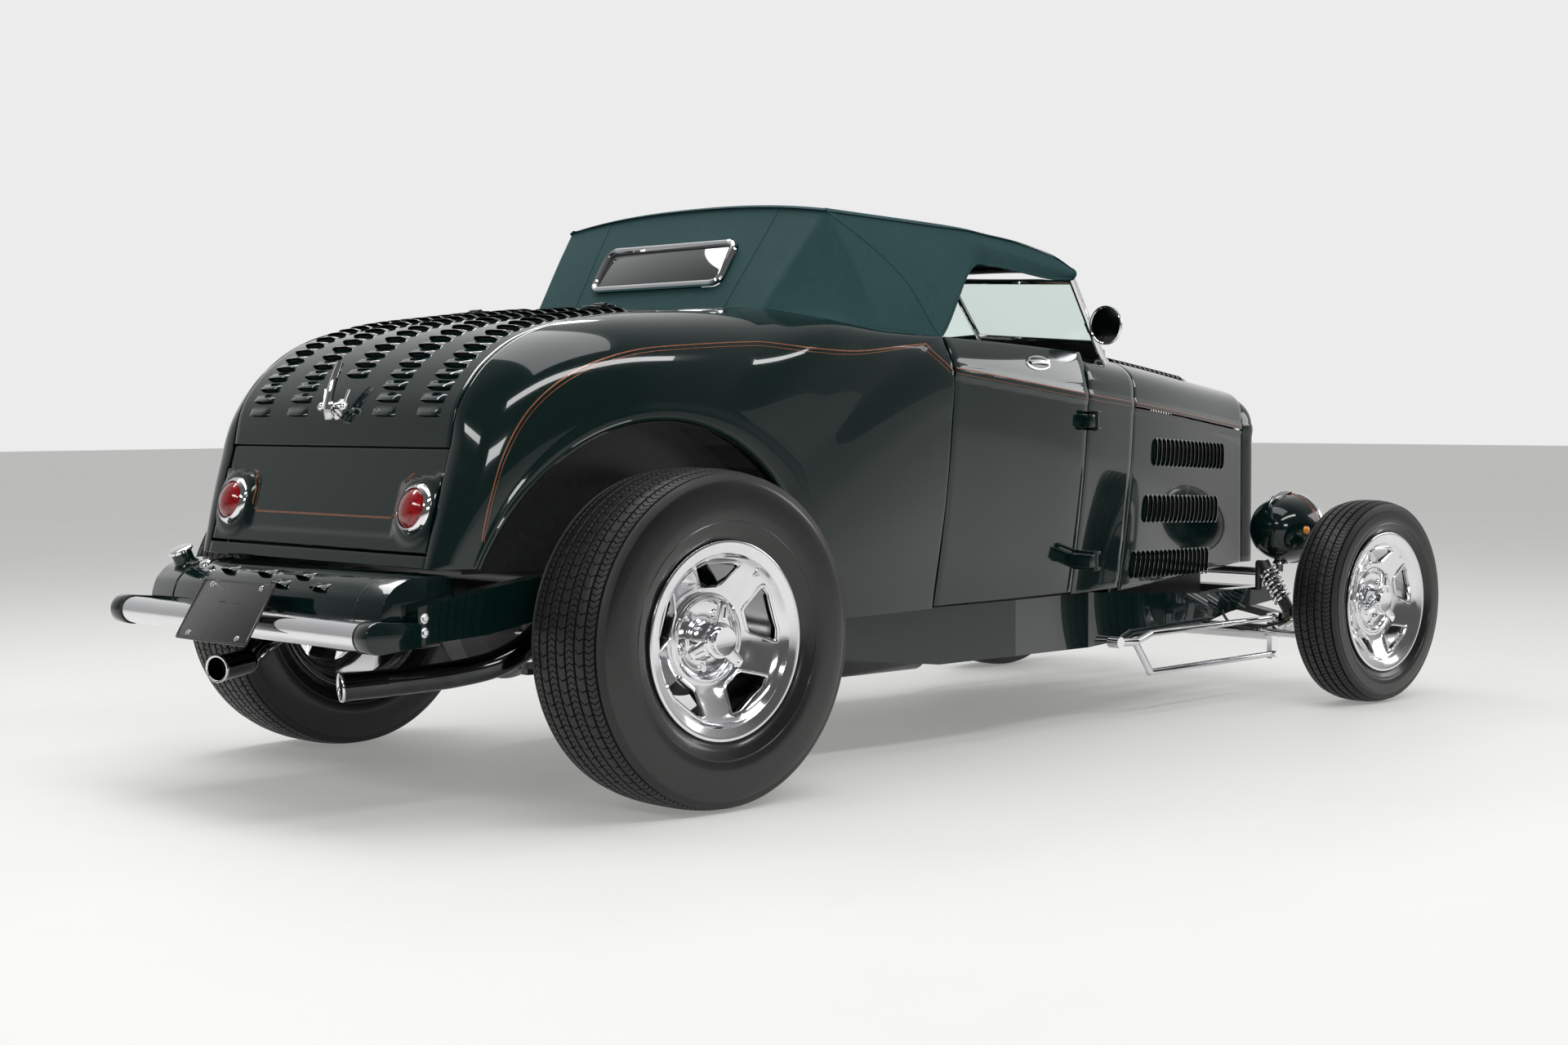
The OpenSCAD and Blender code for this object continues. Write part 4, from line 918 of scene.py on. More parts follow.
        piece(patch(surface, 26, 110, 0.006), "shell_panel", "body", *PAINT,
              ["radiator_shell"], 50)
        bars = []
        for k in range(-19, 20):
            y = GRILLE_PITCH * k
            share = max(1 - abs(y / GRILLE_HALF) ** SHELL_POWER, 0) ** (1 / SHELL_POWER)
            top = SIDE[-1][3] + 0.118 * share - 0.014
            bars.append(tube([(SHELL_X + .058, y, SHELL_Z + .020), (SHELL_X + .062, y, SHELL_MIDDLE_Z),
                              (SHELL_X + .056, y, top)],
                             0.0026, 8, 8))
        for z in (0.50, 0.68, 0.84):
            bars.append(tube([(SHELL_X + .052, -.205, z), (SHELL_X + .052, .205, z)], 0.003, 8))
        piece(joined(bars), "grille_bars", "body", *CHROME, ["radiator_grille"])
        # Core in the near-black shadow finish: its own dark paint, deepened as painted shade behind the
        # grille
        core = block((SHELL_X + .006, -.205, SHELL_Z + .01), (SHELL_X + .040, .205, .865), 0.004)
        piece(core, "radiator_core", "body", *SHADOW)
        rod = tube([(COWL_X + .004, 0, along(CROWN, 1, COWL_X)),
                    (SHELL_X - .004, 0, along(CROWN, 1, SHELL_X))], 0.0044, 12)
        piece(rod, "hood_hinge_rod", "body", *CHROME)


def quarter_surface(u, v):
    i = LAST_ARCH_ROW * (1 - u)
    p = quarter_point(i, v)
    p.y -= 0.005 * (1 - soft_step(0.05, 0.085, v))
    return p


class ROADSTER_OT_quarters(bpy.types.Operator):
    """Rear quarter panels with rolled wheel arches and sweeping stripes"""
    bl_idname = "roadster.quarters"
    bl_label = "Quarter panels"

    def execute(self, context):
        sizes = context.scene.roadster_sizes
        panel = patch(quarter_surface, 120, 66, sizes.panel_wall)
        lip = tube([quarter_surface(u, 0) + Vector((0, .003, 0)) for u in spread(0, 1, 90)], 0.0065, 12)
        path = ((3, 1), (3.6, .88), (4.3, .77), (5, .67), (6, .58), (7, .52), (8, .48), (9, .46), (10, .45),
                (11, .42), (12, .34), (13, .22), (13.9, .10))
        grid = spread(3.0, 13.9, 110)
        lines = [[(1 - i / LAST_ARCH_ROW, hermite([p[0] for p in path], [p[1] for p in path], i) - drop)
                  for i in grid]
                 for drop in (0.0, 0.034)]
        stripe = stripes_on(quarter_surface, lines, sizes.stripe_width)
        right = (panel, lip, stripe)
        left = tuple(mirrored(part) for part in right)
        for side, parts in (("right", right), ("left", left)):
            piece(parts[0], f"quarter_{side}_panel", "body", *PAINT, ["quarter_" + side], 50)
            piece(parts[1], f"arch_{side}_lip", "body", *PAINT)
            piece(parts[2], f"quarter_{side}_stripes", "body", *STRIPE)
        return {"FINISHED"}


LAMP_Y = 0.379
LAMP_ROW = 1.82
HANDLE_ROW = 4.0
LOUVER_PITCH = 0.0345
LOUVER_COLUMNS = (-.350, -.180, 0, .180, .350)
RECESS_Z = 0.608


def lid_v(y):
    """Share of the lid's width at y."""
    return y / (2 * LID_HALF) + .5


def lower_panel(u, v):
    """Lower part of the lid: a recess between and above the lamps, a pod round each lamp."""
    i = mix(*LID_LOW, u)
    y = mix(-LID_HALF, LID_HALF, v)
    p = deck_point(i, y)
    edge = mix(0.300, 0.52, soft_step(0.722, 0.762, p.z))
    inside = min(edge - abs(y), p.z - RECESS_Z)
    lamp = (deck_point(LAMP_ROW, LAMP_Y * (1 if y > 0 else -1)) - p).length
    pod = 0.007 * bead(lamp, 0, 0.078, 0.014) * (1 - soft_step(-.006, .004, inside))
    recess = 0.005 * soft_step(-.004, .006, inside)
    return p + (pod - recess) * Vector((-.96, 0, .27))


class ROADSTER_OT_deck(bpy.types.Operator):
    """Louvered deck lid with its recessed lower panel, handle and the fixed deck strips"""
    bl_idname = "roadster.deck"
    bl_label = "Rear deck"

    def execute(self, context):
        sizes = context.scene.roadster_sizes
        wall = sizes.panel_wall

        def strip(first, last, half):
            return lambda u, v: deck_point(mix(first, last, u), mix(-half, half, v))

        upper = strip(*LID_TOP, LID_HALF)
        piece(patch(upper, 90, 50, wall), "deck_lid_panel", "deck_lid", *PAINT, ["deck_lid"], 50)
        piece(patch(lower_panel, 34, 110, 0.009), "deck_lid_lower_panel", "deck_lid", *PAINT)

        # Dark sheet behind the crease: painted shade in the seam between the lid's lower and upper panels
        def behind_crease(u, v):
            return strip(2.7, 3.3, .44)(u, v) + Vector((.011, 0, -.004))
        crease_shade = patch(behind_crease, 12, 20, .004)
        piece(crease_shade, "deck_lid_seam_backing", "deck_lid", "shadow_black", "body_paint")
        fixed = joined([patch(strip(0, .95, .4515), 8, 60, wall),
                        patch(strip(10.04, 11.98, .4515), 30, 60, wall)])
        piece(fixed, "deck_strips", "body", *PAINT, ["rear_deck"])

        places = []
        rows = spread(0, 1, 400)
        lengths = np.cumsum([0] + [(upper(b, .5) - upper(a, .5)).length for a, b in zip(rows, rows[1:])])
        for y in LOUVER_COLUMNS:
            start = 0.185 if y == 0 else 0.080
            for s in np.arange(start, lengths[-1] - 0.030, LOUVER_PITCH).tolist():
                u = float(np.interp(s, lengths, rows))
                v = lid_v(y)
                places.append((upper(u, v), normal_of(upper, u, v), (0, -1, 0)))
        scoops, shade_plates = louvers_on(places, 0.088, 0.024, sizes.louver_rise * 0.95)
        piece(scoops, "deck_lid_louvers", "deck_lid", *PAINT)
        # Dark plates under the lid's louvers: painted shade
        piece(shade_plates, "deck_lid_openings", "deck_lid", *SHADOW)

        half = [(.335, .748), (.318, .738), (.306, .722), (.300, .700), (.300, .640), (.294, .621),
                (.280, .612), (0, .612)]
        outline = [(-y, z) for y, z in half] + [(y, z) for y, z in reversed(half[:-1])]
        fine = []
        for (y0, z0), (y1, z1) in zip(outline, outline[1:]):
            steps = max(int(math.hypot(y1 - y0, z1 - z0) / .006), 1)
            fine += [(mix(y0, y1, k / steps), mix(z0, z1, k / steps)) for k in range(steps)]
        lines = []
        for grow in (1.0, 0.975):
            lines.append([(self.lid_u(mix(.70, z, grow)), lid_v(y * grow)) for y, z in fine])
        piece(stripes_on(lower_panel, lines, sizes.stripe_width), "deck_lid_stripes", "deck_lid", *STRIPE)
        self.handle()
        self.hinges()
        return {"FINISHED"}

    def lid_u(self, z):
        """Share of the lower panel's rows at height z."""
        row = hermite([r[1] for r in DECK[:4]], [0, 1, 2, 3], z)
        return (row - LID_LOW[0]) / (LID_LOW[1] - LID_LOW[0])

    def handle(self):
        """Turning handle: a swept blade over a cross bar with round ends."""
        foot = deck_point(HANDLE_ROW, 0)
        up = (deck_point(HANDLE_ROW + .1, 0) - deck_point(HANDLE_ROW - .1, 0)).normalized()
        across = Vector((0, 1, 0))
        normal = across.cross(up)
        normal = normal if normal.x < 0 else -normal
        base = moved(spun([(-.003, 0), (-.003, .020), (.003, .022), (.008, .014), (.018, .009), (.026, .0)],
                          40, "Z"),
                     Matrix.Diagonal((1, 1.15, 1, 1)), frame_on(foot, normal, up))
        tip = foot + up * .105 + normal * .030
        blade = tube([foot - up * .030 + normal * .022, foot + normal * .034,
                      foot + up * .055 + normal * .036, tip],
                     0.0088, 16, 30)
        for vertex in blade.data.vertices:
            s = (vertex.co - foot).dot(up) / .105
            width = 1.45 - 0.75 * min(max(s, 0), 1)
            vertex.co.y *= width
        bar = tube([foot - across * .042 + normal * .020, foot + across * .042 + normal * .020], 0.0052, 14)
        ball = [(-.011, 0), (-.010, .005), (-.006, .0095), (0, .011), (.006, .0095), (.010, .005), (.011, 0)]
        knobs = [moved(spun(ball, 24), shift(*(foot + across * s + normal * .020))) for s in (-.046, .046)]
        wing = [tube([foot + across * s + normal * .020,
                      foot + across * s * 1.25 + up * .042 + normal * .020], 0.0036, 12, 8)
                for s in (-.040, .040)]
        piece(joined([base, blade, bar, *knobs, *wing]), "deck_lid_handle", "deck_lid", *CHROME)

    def hinges(self):
        x, z = .127, 1.132
        lid, fixed = [], []
        for y in (-.250, .250):
            lid.append(moved(spun([(-.020, .0045), (-.020, .008), (.020, .008), (.020, .0045)], 24, "Y",
                                  True), shift(x, y, z)))
            lid.append(block((x - .042, y - .020, z - .009), (x - .004, y + .020, z - .0005), .002))
            fixed.append(moved(spun([(-.035, 0), (-.035, .0038), (.035, .0038), (.035, 0)], 16),
                               shift(x, y, z)))
            for side in (-1, 1):
                fixed.append(block((x - .004, y + side * .028 - .007, z - .009),
                                   (x + .020, y + side * .028 + .007, z + .004), .002))
        piece(joined(lid), "deck_lid_hinges", "deck_lid", *PAINT)
        piece(joined(fixed), "deck_hinge_pins", "body", *PAINT)


# ---------- wheels ----------

WINDOWS = 5
WINDOW_STEP = 360 / WINDOWS
# End, axle place, radius, box of the tyre, tyre width, radius of the rim flange, rim width, bowl depth,
# and the ribs and pitches of the tread
WHEELS = (
    ("front", WHEELBASE, FRONT_R, FRONT_TYRE, .148, .2075, .134, .66, 5, 72),
    ("rear", 0, REAR_R, REAR_TYRE, .245, .221, .219, 1.0, 7, 86),
)


def tyre_mesh(r, w, flange_r, rim_w, ribs, pitches, depth):
    """Tyre with ribs and sipes; its axis is Y and its outer side faces -Y."""
    seat_r = flange_r - .016
    bead_y = rim_w / 2 - .006
    tread = w * 0.43
    side = [(bead_y - .002, seat_r), (bead_y, flange_r + .004), (bead_y + .004, flange_r + .012)]
    shoulder = [(w * .5, mix(flange_r, r, .46)), (w * .499, mix(flange_r, r, .66)), (w * .490, r - .034),
                (w * .482, r - .026), (w * .479, r - .0245), (w * .470, r - .017), (w * .448, r - .0095)]
    profile = []
    for t in spread(0, 1, 7):
        a = t * math.pi / 2
        profile.append((mix(bead_y + .006, w * .5, math.sin(a) ** .9),
                        mix(flange_r + .014, shoulder[0][1], t), 0))
    rows = [(y, q, 0) for y, q in side] + profile + [(y, q, 0) for y, q in shoulder[1:]]
    # Fine raised lines of the sidewall
    rows[6:6] = [(rows[6][0] - .0004, rows[6][1] - .003, 0), (rows[6][0] + .0012, rows[6][1] - .002, 0)]
    tread_rows = []
    rib_w = 2 * tread / ribs
    groove = .0065
    for rib in range(ribs):
        a, b = -tread + rib * rib_w + groove / 2, -tread + (rib + 1) * rib_w - groove / 2
        def drop(y):
            return r - .009 * abs(y / tread) ** 3.2
        tread_rows += [(a - .0005, drop(a) - depth, 0), (a, drop(a) - .001, rib + 1),
                       (a + .001, drop(a), rib + 1)]
        tread_rows.append((mix(a, b, .5), drop(mix(a, b, .5)), rib + 1))
        tread_rows += [(b - .001, drop(b), rib + 1), (b, drop(b) - .001, rib + 1),
                       (b + .0005, drop(b) - depth, 0)]
    full = [(-y, q, k) for y, q, k in rows] + tread_rows + [(y, q, k) for y, q, k in reversed(rows)]
    fractions = (0, .05, .11, .50, .55, .60)
    angles = [2 * math.pi * (p + f) / pitches for p in range(pitches) for f in fractions]
    clear_selection()
    verts, faces = [], []
    for j, angle in enumerate(angles):
        step = j % len(fractions)
        for y, q, rib in full:
            lean = 0.0
            cut = 0.0
            if rib:
                lean = (0.45 if rib % 2 else -0.45) * (y % rib_w) / rib_w * 2 * math.pi / pitches
                lean += (rib * .37 % 1) * 2 * math.pi / pitches
                cut = depth * (.8 if step == 1 else .5 if step == 4 and rib % 2 else 0)
            a = angle + lean
            verts.append(((q - cut) * math.sin(a), y, (q - cut) * math.cos(a)))
    n, m = len(angles), len(full)
    for j in range(n):
        for k in range(m - 1):
            faces.append((j * m + k, j * m + k + 1, (j + 1) % n * m + k + 1, (j + 1) % n * m + k))
        faces.append((j * m + m - 1, j * m, (j + 1) % n * m, (j + 1) % n * m + m - 1))
    mesh = bpy.data.meshes.new("tyre")
    mesh.from_pydata(verts, [], faces)
    obj = bpy.data.objects.new("tyre", mesh)
    bpy.context.collection.objects.link(obj)
    return closed(obj)


def rounded_outline(corners, radius, steps=5):
    """Polygon with its corners rounded."""
    points = []
    n = len(corners)
    for i in range(n):
        p, a, b = Vector(corners[i]), Vector(corners[i - 1]), Vector(corners[(i + 1) % n])
        u, v = (a - p).normalized(), (b - p).normalized()
        for k in range(steps + 1):
            t = k / steps
            points.append(tuple((1 - t) ** 2 * (p + u * radius) + 2 * t * (1 - t) * p
                                + t * t * (p + v * radius)))
    return points


def rim_meshes(flange_r, rim_w, deep):
    """Rim with five windows, its hub and lugs, a three eared cap and a valve. Outer side towards -Y.

    deep is how deep its bowl is, as a share of the rear wheel's.
    """
    seat_r = flange_r - .018
    half = rim_w / 2
    out = -half
    bowl = [(.012, seat_r - .013), (.020, seat_r - .018), (.026, seat_r - .024), (.034, seat_r - .036),
            (.044, .142), (.058, .120), (.068, .104)]
    hub = [(.066, .097), (.060, .094), (.0595, .090), (.066, .086), (.078, .083), (.083, .070), (.083, .050),
           (.076, .044)]
    bowl = [(out + deep * depth, radius) for depth, radius in bowl]
    hub = [(out + deep * depth, radius) for depth, radius in hub]
    back = out + deep * .083 + .012
    profile = [
        (half, flange_r), (half - .004, flange_r + .001), (half - .007, flange_r - .004),
        (half - .008, seat_r + .002), (half - .020, seat_r), (out + .020, seat_r),
        (out + .008, seat_r + .002), (out + .007, flange_r - .004), (out + .004, flange_r + .001),
        (out, flange_r), (out - .0015, flange_r - .005), (out + .001, flange_r - .011),
        (out + .006, seat_r - .010), *bowl, *hub, (hub[-1][0], 0), (back + .012, 0), (back + .012, .060),
        (back, .070), (back, .108), (bowl[-3][0] + .010, .146), (bowl[-4][0] + .012, seat_r - .034),
        (out + deep * .026 + .014, seat_r - .012), (half - .024, seat_r - .010), (half - .010, seat_r - .010),
    ]

    def bowl_y(radius):
        return float(np.interp(radius, [q for _, q in reversed(bowl)], [y for y, _ in reversed(bowl)]))
    barrel = spun(profile, 120, "Y", True)
    inner_r, outer_r = .116, seat_r - .034
    wide = math.tan(math.radians(21)) * outer_r
    window = [(-inner_r * .22, inner_r), (inner_r * .22, inner_r), (wide, outer_r * .94),
              (wide * .62, outer_r), (-wide * .62, outer_r), (-wide, outer_r * .94)]
    outline = rounded_outline(window, .006)
    cutter = moved(extruded(outline, .090, 0), shift(0, 0, -.045), turn(90, "X"),
                   shift(0, out + deep * .045, 0))
    cutters = [copy_of(cutter, turn(WINDOW_STEP * k, "Y")) for k in range(WINDOWS)]
    bpy.data.objects.remove(cutter)
    tool = joined(cutters)
    modify(barrel, "BOOLEAN", operation="DIFFERENCE", object=tool, solver="EXACT")
    bpy.data.objects.remove(tool)
    closed(barrel, 2e-5)
    bevel(barrel, 0.0022, 3, 40)

    def lip_point(p):
        return Vector((p[0] * 1.03, bowl_y(math.hypot(*p)) - .0005, p[1]))
    lips = []
    for k in range(WINDOWS):
        path = [turn(WINDOW_STEP * k, "Y") @ lip_point(p) for p in rounded_outline(
            [(x * 1.06, z + (.004 if z > inner_r * 1.2 else -.003)) for x, z in window], .008, 8)]
        lips.append(tube(path, 0.0042, 10, ring=True))
    lugs = []
    disc = out + deep * .083
    for k in range(WINDOWS):
        pocket = moved(spun([(-.004, .0), (-.004, .008), (0, .012), (.003, .016), (.006, .016), (.006, 0)],
                            24),
                       shift(0, disc - .001, .066), turn(WINDOW_STEP * (k + 0.5), "Y"))
        lugs.append(pocket)
    tall = deep * .083 - .004
    cap = spun([(.006, .045), (-.004, .047), (-.008, .041), (-.018, .038), (-tall * .55, .036),
                (-tall * .62, .040), (-tall * .78, .040), (-tall * .80, .034), (-tall + .003, .033),
                (-tall, .030), (-tall + .001, .026), (-tall + .001, .0), (.006, 0)], 64)
    ears = []
    for k in range(3):
        ear = rounded_outline([(-.017, .026), (.017, .026), (.012, .088), (-.012, .088)], .009)
        blade = moved(extruded(ear, .011, .0022, 2), turn(90, "X"), shift(0, -tall * .60, 0))
        slot = rounded_outline([(-.006, .046), (.006, .046), (.0045, .078), (-.0045, .078)], .004)
        groove = moved(extruded(slot, .010, 0), turn(90, "X"), shift(0, -tall * .60 - .008, 0))
        modify(blade, "BOOLEAN", operation="DIFFERENCE", object=groove, solver="EXACT")
        bpy.data.objects.remove(groove)
        ears.append(moved(blade, turn(120 * k + 12, "Y")))
    spinner = moved(joined([cap, *ears]), shift(0, disc, 0))
    valve = moved(spun([(-.016, 0), (-.016, .003), (-.004, .0035), (-.002, .0055), (.006, .0055), (.006, 0)],
                       16),
                  shift(0, out + .030, seat_r - .026), turn(38, "Y"))
    return joined([barrel, *lips, *lugs]), spinner, valve


class ROADSTER_OT_wheels(bpy.types.Operator):
    """Wide ribbed tyres with blank sidewalls on polished five window rims"""
    bl_idname = "roadster.wheels"
    bl_label = "Wheels"

    def execute(self, context):
        depth = context.scene.roadster_sizes.tread_depth
        for end, x, r, (low, high), w, flange, rim_w, deep, ribs, pitches in WHEELS:
            y = -(low.y + high.y) / 2
            tyre = tyre_mesh(r, w, flange, rim_w, ribs, pitches, depth)
            rim, spinner, valve = rim_meshes(flange, rim_w, deep)
            for side in ("right", "left"):
                sign = -1 if side == "right" else 1
                body = f"wheel_{end}_{side}"
                at = shift(x, sign * y, r)
                parts = [copy_of(p) if side == "right" else mirrored(p) for p in (tyre, rim, spinner, valve)]
                for part in parts:
                    moved(part, at)
                rubber = piece(parts[0], f"{end}_{side}_tyre", body, "tyre_rubber", "tyre_rubber",
                               [f"tyre_{end}_{side}"], 40)
                rubber.data.materials.append(FINISHES["tyre_sidewall"])
                for face in rubber.data.polygons:
                    reach = math.hypot(face.center.x - x - CAR_X, face.center.z - r)
                    face.material_index = int(reach < r - .026)
                piece(parts[1], f"{end}_{side}_rim", body, "polished_aluminium", "polished_aluminium",
                      [f"rim_{end}_{side}"], 40)
                piece(parts[2], f"{end}_{side}_cap", body, *CHROME)
                piece(parts[3], f"{end}_{side}_valve", body, *CHROME)
            for part in (tyre, rim, spinner, valve):
                bpy.data.objects.remove(part)
        return {"FINISHED"}


# ---------- soft top and windshield ----------

REAR_WINDOW_TILT = 32
REAR_WINDOW = (.545, 0, 1.249)
PLATE_TILT = 31


def upright(place, tilt):
    """Matrix that stands an outline across the car, leaning forward, its depth forward."""
    s, c = math.sin(math.radians(tilt)), math.cos(math.radians(tilt))
    return Matrix(((0, s, c, place[0]), (1, 0, 0, place[1]), (0, c, -s, place[2]), (0, 0, 0, 1)))


def box_outline(width, height, radius):
    w, h = width / 2, height / 2
    return rounded_outline([(-w, -h), (w, -h), (w, h), (-w, h)], radius, 8)


def canvas_surface(u, v):
    """Canvas over its bows: a soft ridge on each bow and a slack dip between two."""
    i = LAST_HOOP * u
    p = hoop_point(i, v)
    across = math.sin(math.pi * min(max((v - .2) / .6, 0), 1))
    bow = max(math.exp(-((i - b) / .22) ** 2) for b in (3, 5.5, 8))
    slack = across * (0.004 * bow - 0.004 * soft_step(3, 4, i) * (1 - bow))
    pull = 0.0016 * math.sin(26 * v + 5 * u) * (1 - across) * soft_step(0, 1, i)
    return p + Vector((0, -math.copysign(pull, p.y) if abs(p.y) > .05 else 0, slack))


def seam_on(line, width=0.014):
    normals = [normal_of(canvas_surface, min(max(u, .002), .998), min(max(v, .002), .998)) for u, v in line]
    return ribbon([canvas_surface(u, v) for u, v in line], normals, width, 0.0008)


class ROADSTER_OT_soft_top(bpy.types.Operator):
    """Canvas top over its bows, with seams, hems and the framed rear window"""
    bl_idname = "roadster.soft_top"
    bl_label = "Soft top"

    def execute(self, context):
        cloth = patch(canvas_surface, 100, 128)
        modify(cloth, "SOLIDIFY", thickness=0.005, offset=-1, use_quality_normals=True)
        hole = moved(extruded(box_outline(.512, .134, .034), .20, 0), shift(0, 0, -.10),
                     upright(REAR_WINDOW, REAR_WINDOW_TILT))
        modify(cloth, "BOOLEAN", operation="DIFFERENCE", object=hole, solver="EXACT")
        bpy.data.objects.remove(hole)
        bevel(cloth, 0.0012, 2, 60)
        steps = spread(0, 1, 50)
        seams = []
        for side in (-1, 1):
            def v(t, side=side):
                return t if side < 0 else 1 - t
            seams.append(seam_on([(.3 * s, v(.302)) for s in steps]))
            seams.append(seam_on([(mix(.3, .5, s), v(mix(.2, .004, s))) for s in steps]))
            seams.append(seam_on([(mix(.3, .998, s), v(.2)) for s in steps]))
        seams.append(seam_on([(.3, mix(.2, .8, s)) for s in steps], 0.018))
        seams.append(seam_on([(.975, mix(.2, .8, s)) for s in steps], 0.018))
        hems = [tube([canvas_surface(u, v) for u in spread(0, 1, 80)], 0.0042, 8) for v in (0, 1)]
        hems += [tube([canvas_surface(u, v) for v in spread(0, 1, 80)], 0.0042, 8) for u in (0, 1)]
        top = piece(cloth, "canvas_top", "body", *CANVAS, ["soft_top"], 50)
        seam = piece(joined(seams), "canvas_seams", "body", *CANVAS)
        hem = piece(joined(hems), "canvas_hems", "body", *CANVAS)
        bows = [tube([canvas_surface(u, v) + Vector((0, 0, -.014)) for v in spread(.2, .8, 30)], 0.009, 12)
                for u in (.31, .55, .80, .985)]
        piece(joined(bows), "canvas_bows", "body", *SATIN)
        place = upright(REAR_WINDOW, REAR_WINDOW_TILT)
        ring = tube([place @ Vector((x, y, -.008)) for x, y in box_outline(.500, .122, .032)], 0.0085, 12,
                    ring=True)
        piece(ring, "rear_window_frame", "body", *CHROME, ["rear_window"])
        gasket = tube([place @ Vector((x, y, -.006)) for x, y in box_outline(.482, .104, .026)], 0.0045, 8,
                      ring=True)
        piece(gasket, "rear_window_gasket", "body", *TRIM)
        # Opaque near-black pane: painted shade of the cabin seen through the rear window
        pane = moved(extruded(box_outline(.486, .108, .028), .005), shift(0, 0, -.008), place)
        piece(pane, "rear_window_pane", "body", "shaded_window_glass", "window_glass")
        return {"FINISHED"}


def crown_height(x, y):
    belt, belt_z = along(SIDE, 2, x), along(SIDE, 3, x)
    lift = max(1 - (abs(y) / belt) ** CROWN_POWER, 0) ** (1 / CROWN_POWER)
    return belt_z + (along(CROWN, 1, x) - belt_z) * lift


class ROADSTER_OT_windshield(bpy.types.Operator):
    """V windshield on its rubber base, with a round mirror on each post"""
    bl_idname = "roadster.windshield"
    bl_label = "Windshield and mirrors"

    def execute(self, context):
        right = Matrix.Scale(-1, 3, (0, 1, 0))
        foot, top = right @ POST_FOOT, right @ POST_TOP
        low, high = mix(foot, top, GLASS_LOW), mix(foot, top, GLASS_HIGH)
        bars = [tube([foot + Vector((.004, 0, -.012)), top], .010, 16), tube([low, CENTRE_FOOT], .0078, 12),
                tube([high, CENTRE_TOP], .0075, 12)]
        pad_z = crown_height(foot.x, .507)
        bars.append(moved(spun([(0, 0), (0, .020), (.006, .019), (.012, .012), (.034, .010), (.034, 0)], 32,
                               "Z"),
                          Matrix.Diagonal((1.5, .75, 1, 1)), shift(foot.x, -.512, pad_z)))
        centre = tube([CENTRE_FOOT + Vector((.006, 0, -.012)), CENTRE_TOP + Vector((-.003, 0, .006))], .0095,
                      16)
        frame_bars = joined([joined([both(b) for b in bars]), centre])
        piece(frame_bars, "windshield_frame_bars", "body", *CHROME, ["windshield_frame"])

        def glass(u, v):
            return mix(mix(low, CENTRE_FOOT, mix(.012, .988, u)), mix(high, CENTRE_TOP, mix(.012, .988, u)),
                       mix(.03, .97, v))
        pane = patch(glass, 12, 6)
        modify(pane, "SOLIDIFY", thickness=.0055, offset=0)
        piece(both(closed(pane)), "windshield_panes", "body", "tinted_glass", "window_glass",
              ["windshield_glass"])

        def base(u, v):
            bar = mix(low, CENTRE_FOOT, u)
            foot_x = bar.x + .020
            return mix(Vector((foot_x, bar.y, crown_height(foot_x, bar.y) - .001)), bar, v)
        wedge = patch(base, 40, 6)
        modify(wedge, "SOLIDIFY", thickness=.010, offset=0)
        piece(both(bevel(closed(wedge), .003, 2)), "windshield_base", "body", *TRIM)

        hold = mix(foot, top, .42)
        at = Vector((hold.x - .022, -.588, hold.z))
        head = moved(spun([(.002, 0), (.002, .0475), (0, .049), (0, .0525), (.004, .054), (.009, .0535),
                           (.016, .049), (.023, .038), (.027, .020), (.028, 0)], 64, "X"), shift(*at))
        arm = tube([hold + Vector((0, -.009, 0)), mix(hold, at + Vector((.020, .030, 0)), .5),
                    at + Vector((.020, .030, 0))],
                   .0055, 12, 10)
        clamp = tube([mix(foot, top, .36), mix(foot, top, .48)], .0135, 16)
        piece(both(joined([head, arm, clamp])), "mirror_heads", "body", *CHROME, ["mirrors"])
        return {"FINISHED"}


# ---------- lamps ----------

